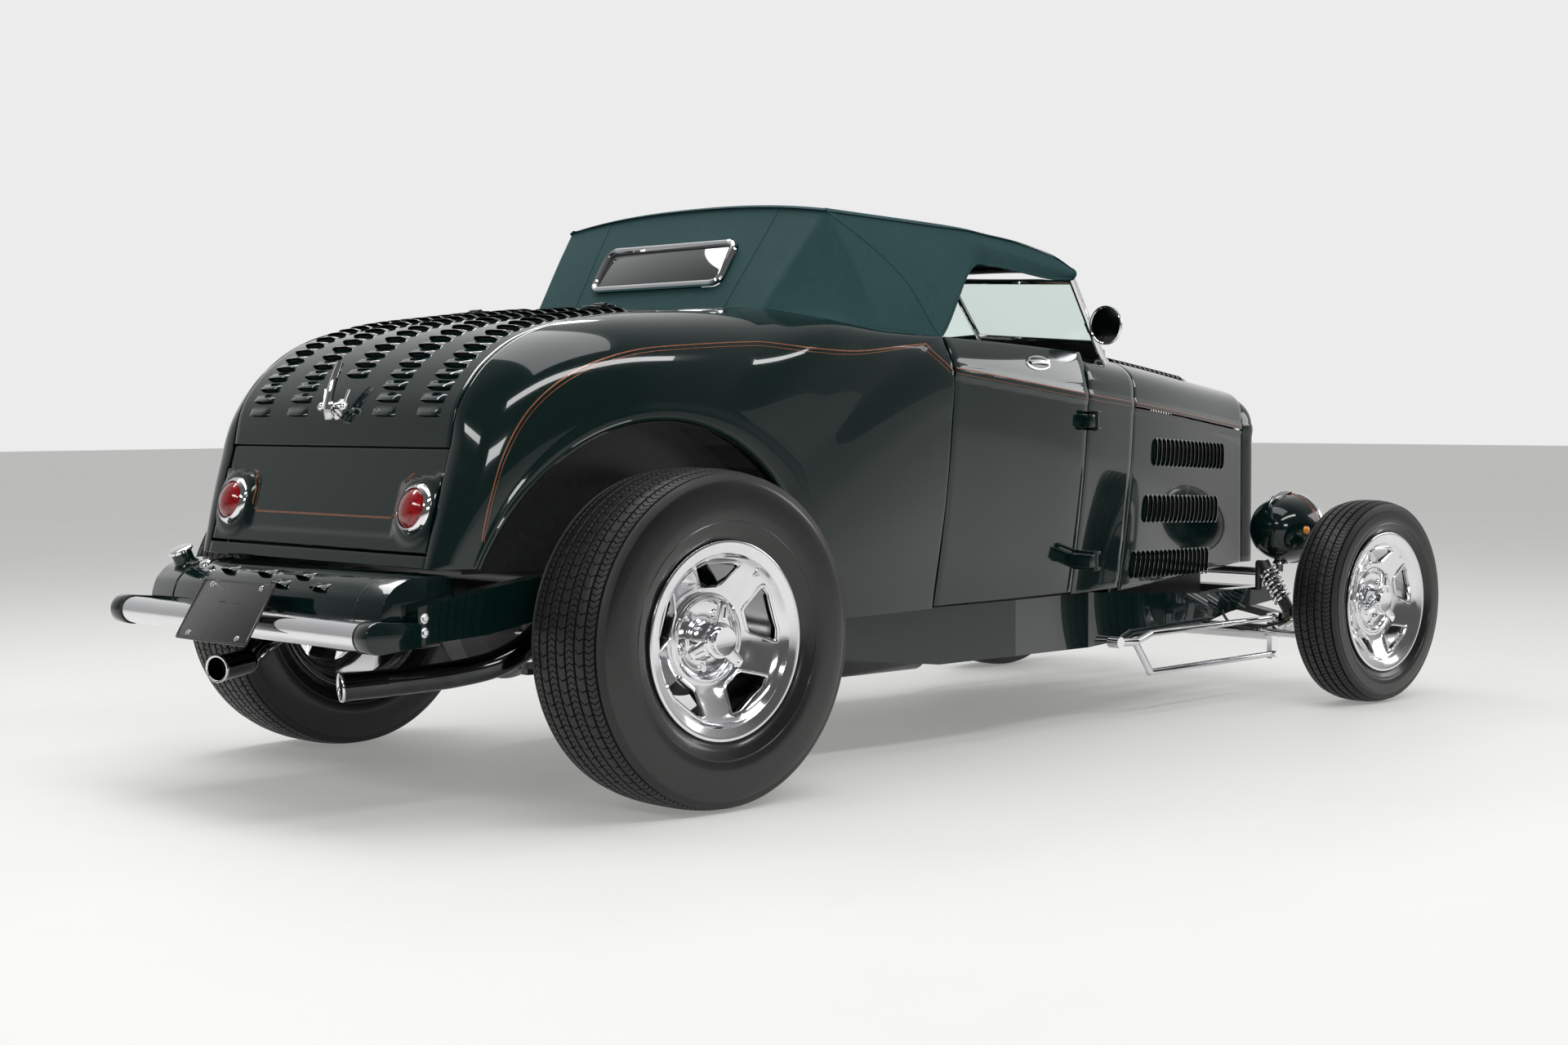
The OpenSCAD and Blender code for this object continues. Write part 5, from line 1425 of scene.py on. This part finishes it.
class ROADSTER_OT_lamps(bpy.types.Operator):
    """Bullet headlights on their bar, and round tail lights"""
    bl_idname = "roadster.lamps"
    bl_label = "Lamps"

    def execute(self, context):
        x, y, z, bar_z = WHEELBASE + .008, .425, .508, .372
        at = shift(x, -y, z)
        bowl = spun([(-.096, 0), (-.094, .014), (-.088, .036), (-.076, .060), (-.060, .076), (-.040, .089),
                     (-.018, .097), (.008, .1025), (.034, .106), (.058, .108), (.062, .105), (.058, .102)],
                    96, "X")
        modify(bowl, "SOLIDIFY", thickness=.003, offset=-1)
        piece(both(moved(bowl, at)), "headlight_bowls", "body", *PAINT, ["headlights"])
        rim = spun([(.056, .104), (.056, .1092), (.061, .1105), (.070, .1100), (.080, .1065), (.087, .100),
                    (.089, .094), (.086, .092), (.080, .095), (.066, .101)], 96, "X", True)
        reflector = spun([(.078, .094), (.060, .088), (.040, .074), (.022, .050), (.012, .020), (.010, 0)],
                         64, "X")
        modify(reflector, "SOLIDIFY", thickness=.002, offset=0)
        bulb = spun([(.012, 0), (.012, .010), (.034, .010), (.042, .008), (.047, 0)], 24, "X")
        stand = [tube([(-.010, 0, bar_z + .004 - z), (-.008, 0, -.115), (-.004, 0, -.090)], .0135, 16),
                 moved(spun([(0, 0), (0, .024), (.008, .022), (.014, .016), (.014, 0)], 32, "Z"),
                       shift(-.005, 0, -.108))]
        fin_line = [(-.074, .066), (-.050, .087), (-.010, .1015), (.030, .1075), (.050, .109), (.050, .114),
                    (.020, .119), (-.015, .117), (-.045, .103), (-.066, .083)]
        fin = moved(extruded(rounded_outline(fin_line, .004, 3), .007, .002, 2), turn(90, "X"),
                    shift(0, .0035, 0))
        both_lamps = [moved(part, at) for part in (rim, reflector, bulb, *stand, fin)]
        bar = tube([(x - .010, -y - .006, bar_z), (x - .010, y + .006, bar_z)], .013, 20)
        feet = [tube([(x - .010, s * .378, .3305), (x - .010, s * .378, bar_z)], .011, 16) for s in (-1, 1)]
        piece(joined([both(joined(both_lamps)), bar, *feet]), "headlight_chrome", "body", *CHROME)
        lens = spun([(.079, 0), (.079, .0945), (.085, .0925), (.091, .070), (.0955, .040), (.097, .018),
                     (.0975, 0)], 64, "X")
        piece(both(moved(lens, at)), "headlight_lenses", "body", "clear_lamp_glass", "window_glass")
        stripes = [moved(tube([(s, q * math.cos(a), q * math.sin(a))
                               for a in spread(0, 2 * math.pi, 65)[:-1]],
                              .0013, 6, ring=True), at) for s, q in ((.044, .1069), (.037, .1062))]
        piece(both(joined(stripes)), "headlight_stripes", "body", *STRIPE)
        marker = moved(spun([(-.002, 0), (-.002, .013), (.004, .012), (.009, .007), (.0105, 0)], 32, "Z"),
                       turn(90, "X"), shift(-.012, -.0985, 0), at)
        piece(both(marker), "headlight_markers", "body", "amber_lens", "red_lens")

        seat_point = deck_point(LAMP_ROW, -LAMP_Y)
        seat = frame_on(seat_point, (-.963, 0, .269), (0, 1, 0))
        bezel = moved(spun([(-.004, .046), (-.004, .058), (.004, .0595), (.009, .058), (.016, .053),
                            (.019, .049), (.018, .046), (.012, .0455)], 72, "Z", True), seat)
        piece(both(bezel), "tail_light_bezels", "deck_lid", *CHROME, ["tail_lights"])
        dome = moved(spun([(-.002, 0), (-.002, .0455), (.013, .0455), (.016, .044), (.022, .038),
                           (.028, .028), (.0315, .016), (.033, 0)], 64, "Z"), seat)
        piece(both(dome), "tail_light_lenses", "deck_lid", "red_lens", "red_lens")
        return {"FINISHED"}


# ---------- rear end ----------

PIPE_ROUTE = (
    (.760, .330, .246), (.620, .345, .252), (.480, .370, .268), (.360, .400, .305), (.250, .424, .372),
    (.160, .431, .430), (.060, .433, .455), (-.040, .434, .458), (-.130, .438, .436), (-.210, .458, .396),
    (-.280, .474, .358), (-.350, .460, .326), (-.420, .410, .306), (-.480, .350, .294), (-.520, .301, .286),
)
TANK = ((-.655, .400), (-.664, .418), (-.664, .452), (-.652, .486), (-.626, .512), (-.590, .528),
        (-.500, .532), (-.476, .520), (-.470, .400))


def across_car(outline, half, edge=0.003):
    """Outline of (x, z) points drawn across the car from -half to half."""
    return moved(extruded(outline, 2 * half, edge), turn(90, "X"), shift(0, half, 0))


class ROADSTER_OT_rear_end(bpy.types.Operator):
    """Fuel tank, bumper, blank number plate and exhaust pipes"""
    bl_idname = "roadster.rear_end"
    bl_label = "Rear end"

    def execute(self, context):
        tank = across_car(rounded_outline(TANK, .010, 3), .4845, .002)
        ribs = []
        for y in (-.385, .385):
            swell = [(mix(-.566, x, 1.012), mix(.465, z, 1.016)) for x, z in TANK]
            ribs.append(moved(across_car(rounded_outline(swell, .010, 3), .0018, .0008), shift(0, y, 0)))
        scoop = louver(.056, .030, .013)
        lean = Vector((-.565, 0, .82))
        for y, x in ((.20, -.612), (.04, -.612), (-.12, -.612), (-.06, -.640), (-.22, -.640)):
            spot = Vector((x, y, .5185 if x > -.62 else .5005))
            ribs.append(copy_of(scoop, frame_on(spot, lean, (0, -1, 0))))
        bpy.data.objects.remove(scoop)
        piece(joined([tank, *ribs]), "tank_shell", "body", *PAINT, ["fuel_tank"])
        neck = shift(-.606, .425, .5214) @ turn(-24, "Y")
        pipe = spun([(-.004, 0), (-.004, .032), (.002, .027), (.006, .0245), (.030, .0245), (.030, 0)], 48,
                    "Z")
        piece(moved(pipe, neck), "tank_filler", "body", *PAINT)
        cap = spun([(.0285, 0), (.0285, .027), (.031, .029), (.037, .029), (.040, .025), (.041, 0)], 48, "Z")
        grips = [moved(block((.027, -.0025, .0305), (.0305, .0025, .0375), .001, 1), turn(30 * k, "Z"))
                 for k in range(12)]
        sender = moved(spun([(0, 0), (0, .016), (.006, .016), (.009, .012), (.009, 0)], 32, "Z"),
                       shift(-.606, .330, .522) @ turn(-24, "Y"))
        piece(joined([moved(joined([cap, *grips]), neck), sender]), "tank_cap", "body", *CHROME)

        x, z, r = -.707, .412, .0315
        bar = tube([(x, s, z) for s in spread(-.499, .499, 3)], r, 48)
        piece(bar, "bumper_bar", "body", *CHROME, ["rear_bumper"], 40)
        arc = [(x + (r + .003) * math.cos(a), z + (r + .003) * math.sin(a))
               for a in spread(math.pi / 2, 3 * math.pi / 2, 18)]
        arm = moved(across_car([*arc, (-.6005, z - .0258), (-.6005, z + .0258)], .023, .003),
                    shift(0, -.5225, 0))
        piece(both(arm), "bumper_arms", "body", *PAINT)
        washers = [moved(spun([(-.003, .0), (-.003, .0345), (.0015, .0345), (.0015, .0)], 48),
                         shift(x, -.4965, z))]
        piece(both(joined(washers)), "bumper_rings", "body", *TRIM)
        bolts = []
        for bz in (z + .004, z + .034):
            head = spun([(-.005, 0), (-.005, .0065), (-.003, .008), (.001, .008), (.001, 0)], 6)
            washer = spun([(-.0015, 0), (-.0015, .011), (.001, .011), (.001, 0)], 24)
            bolts += [moved(part, shift(-.584, -.530, bz)) for part in (head, washer)]
        piece(both(joined(bolts)), "bumper_bolts", "body", *CHROME)

        place = upright((-.790 + .0775 * math.sin(math.radians(PLATE_TILT)) + .0013, 0, .440), PLATE_TILT)
        plate = moved(extruded(box_outline(.305, .155, .010), .0026, .0006), shift(0, 0, -.0013), place)
        rim = tube([place @ Vector((px, py, -.0014)) for px, py in box_outline(.295, .145, .008)], .0013, 6,
                   ring=True)
        piece(joined([plate, rim]), "number_plate", "body", "number_plate_black", "plate_black",
              ["license_plate"])
        studs = []
        for px in (-.105, .105):
            for py in (-.062, .062):
                head = spun([(0, 0), (0, .0075), (.002, .007), (.0035, .004), (.0035, 0)], 20, "Z")
                slot = block((-.009, -.0009, .0022), (.009, .0009, .006), 0)
                modify(head, "BOOLEAN", operation="DIFFERENCE", object=slot, solver="EXACT")
                bpy.data.objects.remove(slot)
                studs.append(moved(head, place @ shift(px, py, -.0013) @ turn(180, "X")))
        piece(joined(studs), "number_plate_screws", "body", *CHROME)
        bracket = [block((-.740, s - .012, .455), (-.660, s + .012, .4615), .001, 1) for s in (-.030, .030)]
        bracket.append(moved(extruded(box_outline(.120, .060, .004), .003, .0006), shift(0, 0, .0014), place))
        piece(joined(bracket), "number_plate_bracket", "body", *SATIN)

        right = [(px, -py, pz) for px, py, pz in PIPE_ROUTE]
        pipe = tube(right, .030, 32, 110)
        muffler = moved(spun([(0, .0), (0, .040), (.006, .052), (.016, .058), (.364, .058), (.374, .052),
                              (.380, .040), (.380, 0)], 48, "X"), shift(.7605, -.330, .246))
        head = tube([(1.141, -.330, .246), (1.924, -.300, .262), (2.070, -.246, .430)], .029, 32)
        piece(both(joined([pipe, muffler, head])), "exhaust_pipes_run", "body", *DARK_CHROME,
              ["exhaust_pipes"], 50)
        aim = Vector((-.103, .040, -.006)).normalized()
        end = frame_on(Vector(right[-1]), aim, (0, 0, 1))
        tip = spun([(.001, .0265), (.001, .0302), (.004, .0306), (.088, .0306), (.100, .0312), (.105, .0318),
                    (.108, .0305), (.1075, .0275), (.103, .0262), (.060, .0262)], 64, "Z", True)
        piece(both(moved(tip, end)), "exhaust_tips", "body", *DARK_CHROME, (), 50)
        roll = spun([(.1030, .0316), (.1045, .0328), (.1075, .0330), (.1095, .0315), (.1095, .0285),
                     (.1075, .0268), (.1040, .0268)], 64, "Z", True)
        piece(both(moved(roll, end)), "exhaust_tip_rims", "body", *CHROME, (), 50)
        # Dark disc inside each tip: painted shade deep in the bore
        bore_shade = spun([(.056, .0), (.056, .0264), (.058, .0264), (.058, 0)], 32, "Z")
        piece(both(moved(bore_shade, end)), "exhaust_bores", "body", *SHADOW)
        return {"FINISHED"}


# ---------- chassis details ----------

def coil(p, q, radius, wire, turns):
    """Coil spring between two points."""
    p, q = Vector(p), Vector(q)
    place = frame_on(p, q - p, (0, 1, 0))
    length = (q - p).length
    steps = turns * 20
    points = [place @ Vector((radius * math.cos(2 * math.pi * turns * k / steps),
                              radius * math.sin(2 * math.pi * turns * k / steps), length * k / steps))
              for k in range(steps + 1)]
    return tube(points, wire, 8)


class ROADSTER_OT_chassis(bpy.types.Operator):
    """Coil springs, brake hoses and bolts added to the frame's own running gear"""
    bl_idname = "roadster.chassis"
    bl_label = "Chassis details"

    def execute(self, context):
        beam_z = FRONT_R - .118
        springs = [coil((-.150, -.335, .300), (-.150, -.335, .478), .038, .0055, 8)]
        low, high = Vector((WHEELBASE - .060, -.500, beam_z + .082)), Vector((WHEELBASE - .080, -.418, .405))
        springs.append(coil(mix(low, high, .18), mix(low, high, .86), .027, .0042, 8))
        piece(both(joined(springs)), "chassis_springs", "body", *CHROME)
        hoses = [tube([(WHEELBASE - .200, -.360, .300), (WHEELBASE - .260, -.400, .260),
                       (WHEELBASE - .240, -.440, .215), (WHEELBASE - .120, -.452, .215),
                       (WHEELBASE - .030, -.470, .225)], .0045, 10, 50)]
        piece(both(joined(hoses)), "brake_hoses", "body", *TRIM)
        ends = [tube([(WHEELBASE - .030, -.470, .225), (WHEELBASE - .016, -.474, .227)], .0065, 6),
                tube([(WHEELBASE - .200, -.360, .300), (WHEELBASE - .196, -.352, .305)], .0065, 6)]
        piece(both(joined(ends)), "brake_hose_ends", "body", "brass_fitting", "chrome")
        bolts = []
        for bx, by, bz in ((COWL_X - .030, -.4875, .222), (WHEELBASE - .048, -.4395, beam_z + .050),
                           (WHEELBASE - .048, -.4395, beam_z - .062)):
            bolts.append(moved(spun([(-.008, 0), (-.008, .008), (-.006, .0095), (0, .0095), (0, 0)], 6),
                               shift(bx, by, bz)))
        piece(both(joined(bolts)), "hairpin_bolts", "body", *CHROME)
        return {"FINISHED"}


# ---------- cabin ----------

SEAT_X = (.690, 1.160)
SEAT_Z = (.4783, .595)
SEAT_HALF = .465
CHANNELS = 9
PAD_GRID = 0.015
SWELL_FRAMES = 20
# Place across the car and radius of each gauge
GAUGES = ((.235, .046), (.355, .046), (.150, .027), (.098, .027), (.046, .027))
GAUGE_Z = .962
WHEEL_R = .180


def cushion(low, high, swell):
    """Padded block, blown up by a short cloth simulation and capped at swell."""
    obj = block(low, high, 0.022, 4)
    modify(obj, "REMESH", mode="VOXEL", voxel_size=PAD_GRID)
    start = [v.co.copy() for v in obj.data.vertices]
    select_only(obj)
    cloth = obj.modifiers.new("Cloth", "CLOTH")
    cloth.settings.use_pressure = True
    cloth.settings.uniform_pressure_force = 4
    cloth.settings.effector_weights.gravity = 0
    scene = bpy.context.scene
    for step in range(1, SWELL_FRAMES + 1):
        scene.frame_set(step)
    bpy.ops.object.modifier_apply(modifier=cloth.name)
    scene.frame_set(1)
    for vertex, before in zip(obj.data.vertices, start):
        step = vertex.co - before
        if step.length > swell:
            vertex.co = before + step * (swell / step.length)
    modify(obj, "SMOOTH", factor=0.5, iterations=6)
    modify(obj, "SUBSURF", levels=1, render_levels=1)
    return obj


def sewn(obj, along_axis, top, depth=0.011):
    """Presses the sewn channels into the faces near the top."""
    for vertex in obj.data.vertices:
        y = vertex.co.y
        side = min(abs(y - mix(-SEAT_HALF, SEAT_HALF, k / CHANNELS)) for k in range(1, CHANNELS))
        groove = math.exp(-(side / .007) ** 2)
        vertex.co -= along_axis * depth * groove * soft_step(top - .045, top - .012,
                                                             vertex.co.dot(along_axis))
    return obj


class ROADSTER_OT_cabin(bpy.types.Operator):
    """Bench seat, gauges and steering wheel"""
    bl_idname = "roadster.cabin"
    bl_label = "Cabin"

    def execute(self, context):
        up = Vector((0, 0, 1))
        half = SEAT_HALF - .008
        base = cushion((SEAT_X[0] + .010, -half, SEAT_Z[0] + .004),
                       (SEAT_X[1] - .008, half, SEAT_Z[1] - .012), .012)
        base = piece(sewn(base, up, SEAT_Z[1]), "seat_cushion_pad", "body", *LEATHER, ["seat_cushion"], 60)
        lean = turn(-9, "Y")
        back = cushion((.006, -half, .006), (.106, half, .432), .010)
        sewn(back, Vector((1, 0, 0)), .118)
        x = SEAT_X[0] - .028
        back = moved(back, lean, shift(x, 0, SEAT_Z[1] + .0003 - .028 * math.tan(math.radians(9))))
        back = piece(back, "seat_back_pad", "body", *LEATHER, ["seat_back"], 60)

        face = DOOR_X[1] + .012
        bezels, dials = [], []
        for y, r in GAUGES:
            bezels.append(moved(spun([(-.010, r - .006), (-.011, r - .002), (-.008, r), (.001, r),
                                      (.001, r - .006)], 48, "X", True),
                                shift(face, y, GAUGE_Z)))
            dials.append(moved(spun([(-.004, 0), (-.004, r - .004), (0, r - .004), (0, 0)], 48, "X"),
                               shift(face, y, GAUGE_Z)))
            bezels.append(block((face - .0065, y - .0012, GAUGE_Z),
                                (face - .005, y + .0012, GAUGE_Z + r * .7), 0))
        piece(joined(bezels), "gauge_bezels", "body", *CHROME)
        piece(joined(dials), "gauge_dials", "body", "number_plate_black", "black_steel")

        hub, foot = Vector((1.275, .300, .945)), Vector((1.809, .300, .655))
        aim = (foot - hub).normalized()
        place = frame_on(hub, -aim, (0, 1, 0))
        ring = [place @ Vector((WHEEL_R * math.cos(a), WHEEL_R * math.sin(a), 0))
                for a in spread(0, 2 * math.pi, 97)[:-1]]
        piece(tube(ring, .0118, 16, ring=True), "steering_wheel_rim", "body", *LEATHER, ["steering_wheel"])
        spokes = [moved(extruded(rounded_outline([(-.013, .025), (.013, .025), (.010, .174), (-.010, .174)],
                                                 .004), .005, .0015),
                        turn(120 * k, "Z"), place) for k in range(3)]
        boss = moved(spun([(-.012, 0), (-.012, .030), (.010, .033), (.016, .026), (.020, .014), (.021, 0)],
                          48, "Z"), place)
        column = tube([hub + aim * .006, foot - aim * .012], .016, 20)
        flange = block((foot.x - .0222, foot.y - .030, foot.z - .030),
                       (foot.x - .0005, foot.y + .030, foot.z + .030), .002)
        piece(joined([*spokes, boss, column, flange]), "steering_column", "body", *CHROME)
        return {"FINISHED"}


# ---------- finishes on the frame's own parts, and the studio ----------

KEPT_PARTS = {
    "deep_gloss_paint": ("frame_rails", "dashboard"),
    "chrome_plate": ("front_axle", "radius_rods", "tie_rod"),
    "satin_black_steel": ("crossmembers", "front_suspension", "knuckle_right", "knuckle_left", "rear_axle",
                          "rear_suspension", "driveline", "engine", "floor_pan", "wheel_tubs"),
}


class ROADSTER_OT_finishes(bpy.types.Operator):
    """Mixes every finish and puts it on the parts that keep their own shape"""
    bl_idname = "roadster.finishes"
    bl_label = "Finishes"

    def execute(self, context):
        make_finishes(context.scene.roadster_colors)
        for finish, names in KEPT_PARTS.items():
            for name in names:
                for slot in bpy.data.objects[name].material_slots:
                    slot.material = FINISHES[finish]
        return {"FINISHED"}


FLOOR_SIZE = 90
BACKDROP_LEVEL = 0.84
# The way to the backdrop, the range of headings over which it shows in the car, and the levels at its ends
BACKDROP_HEADING = (0.69, 0.72, 0)
ROOM_LEVELS = (("From Min", -0.3), ("From Max", 0.9), ("To Min", 0.10), ("To Max", 0.70))
# Name, place, aim, size and power in watts
STUDIO_LAMPS = (
    ("lamp_over", (-0.5, 0, 6.0), (0, 0, .5), (6, 3), 150),
    ("strip_right", (-0.5, -3.6, 4.2), (0, 0, .8), (5.5, .5), 95),
    ("strip_left", (-0.5, 3.0, 4.6), (0, 0, .8), (5.5, .5), 80),
    ("strip_rear", (-6.0, -0.5, 3.6), (-1.2, 0, .8), (4.5, .5), 70),
    ("lamp_right", (-4.5, -6.8, 3.0), (-.5, 0, .7), (2.4, 1.0), 80),
    ("lamp_front", (6.5, -3.5, 3.0), (1.0, 0, .6), (3, 2), 60),
)
# Place from the rear axle, and yaw, pitch and roll
CAMERA_PLACE = Vector((-3.4194, -4.6017, 0.8838))
CAMERA_ANGLES = (0.8091, -0.0484, -0.0033)
SENSOR_WIDTH = 36


class ROADSTER_OT_studio(bpy.types.Operator):
    """Pale floor, soft lamps and the camera"""
    bl_idname = "roadster.studio"
    bl_label = "Studio"

    def execute(self, context):
        scene = context.scene
        clear_selection()
        bpy.ops.mesh.primitive_plane_add(size=FLOOR_SIZE)
        floor = bpy.context.object
        floor.name = "studio_floor"
        f = Finish("studio_floor", Metallic=0.0, Emission_Color=(.24, .24, .235), Emission_Strength=1.0)
        tint = tuple(scene.roadster_colors.floor)
        f.feed("Base Color", f.colors(f.noise(1.5, 4), scaled(tint, .97), scaled(tint, 1.03)))
        f.feed("Roughness", f.between(f.noise(8, 3), .5, .62))
        floor.data.materials.append(FINISHES["studio_floor"])

        world = bpy.data.worlds.new("studio")
        scene.world = world
        world.use_nodes = True
        nodes, links = world.node_tree.nodes, world.node_tree.links
        shader = nodes["Background"]
        path = nodes.new("ShaderNodeLightPath")
        direct = nodes.new("ShaderNodeMath")
        direct.operation = "MAXIMUM"
        links.new(path.outputs["Is Camera Ray"], direct.inputs[0])
        links.new(path.outputs["Is Transmission Ray"], direct.inputs[1])
        # Metal and paint see the pale backdrop behind the car, and the darker room on the near side
        heading = nodes.new("ShaderNodeTexCoord")
        facing = nodes.new("ShaderNodeVectorMath")
        facing.operation = "DOT_PRODUCT"
        links.new(heading.outputs["Generated"], facing.inputs[0])
        facing.inputs[1].default_value = BACKDROP_HEADING
        room = nodes.new("ShaderNodeMapRange")
        links.new(facing.outputs["Value"], room.inputs["Value"])
        for key, value in ROOM_LEVELS:
            room.inputs[key].default_value = value
        level = nodes.new("ShaderNodeMix")
        links.new(direct.outputs[0], level.inputs[0])
        links.new(room.outputs[0], level.inputs[2])
        level.inputs[3].default_value = BACKDROP_LEVEL
        links.new(level.outputs[0], shader.inputs["Strength"])
        shader.inputs["Color"].default_value = (1, 1, 1, 1)

        for name, place, target, size, power in STUDIO_LAMPS:
            light = bpy.data.lights.new(name, "AREA")
            light.shape = "RECTANGLE"
            light.size, light.size_y = size
            light.energy = power
            lamp = bpy.data.objects.new(name, light)
            scene.collection.objects.link(lamp)
            lamp.location = place
            lamp.rotation_euler = (Vector(target) - Vector(place)).to_track_quat("-Z", "Y").to_euler()

        data = bpy.data.cameras.new("camera")
        data.lens = scene.roadster_sizes.lens * 1000
        data.sensor_width = SENSOR_WIDTH
        data.clip_end = 200
        camera = bpy.data.objects.new("camera", data)
        scene.collection.objects.link(camera)
        yaw, pitch, roll = CAMERA_ANGLES
        forward = Vector((math.cos(yaw) * math.cos(pitch), math.sin(yaw) * math.cos(pitch), math.sin(pitch)))
        right = forward.cross(Vector((0, 0, 1))).normalized()
        above = right.cross(forward)
        c, s = math.cos(roll), math.sin(roll)
        camera_right, camera_up = c * right + s * above, c * above - s * right
        matrix = Matrix((camera_right, camera_up, -forward)).transposed().to_4x4()
        matrix.translation = CAMERA_PLACE + Vector((CAR_X, 0, 0))
        camera.matrix_world = matrix
        scene.camera = camera
        scene.view_settings.view_transform = "Standard"
        return {"FINISHED"}


OPERATORS = (
    ROADSTER_OT_finishes, ROADSTER_OT_sides, ROADSTER_OT_quarters, ROADSTER_OT_deck, ROADSTER_OT_wheels,
    ROADSTER_OT_soft_top, ROADSTER_OT_windshield, ROADSTER_OT_lamps, ROADSTER_OT_rear_end,
    ROADSTER_OT_chassis, ROADSTER_OT_cabin, ROADSTER_OT_studio,
)


class ROADSTER_PT_panel(bpy.types.Panel):
    """Lists the colours, the sizes and the pieces"""
    bl_idname = "ROADSTER_PT_panel"
    bl_label = "Street rod roadster"
    bl_space_type = "VIEW_3D"
    bl_region_type = "UI"
    bl_category = "Roadster"

    def draw(self, context):
        for group in (context.scene.roadster_colors, context.scene.roadster_sizes):
            box = self.layout.box()
            for name in group.__annotations__:
                box.prop(group, name)
        for operator in OPERATORS:
            self.layout.operator(operator.bl_idname)


CLASSES = (RoadsterColors, RoadsterSizes, *OPERATORS, ROADSTER_PT_panel)


def register():
    for cls in CLASSES:
        bpy.utils.register_class(cls)
    bpy.types.Scene.roadster_colors = bpy.props.PointerProperty(type=RoadsterColors)
    bpy.types.Scene.roadster_sizes = bpy.props.PointerProperty(type=RoadsterSizes)


def unregister():
    del bpy.types.Scene.roadster_sizes
    del bpy.types.Scene.roadster_colors
    for cls in reversed(CLASSES):
        bpy.utils.unregister_class(cls)


def main():
    register()
    for operator in OPERATORS:
        group, name = operator.bl_idname.split(".")
        getattr(getattr(bpy.ops, group), name)()


if __name__ == "__main__":
    main()
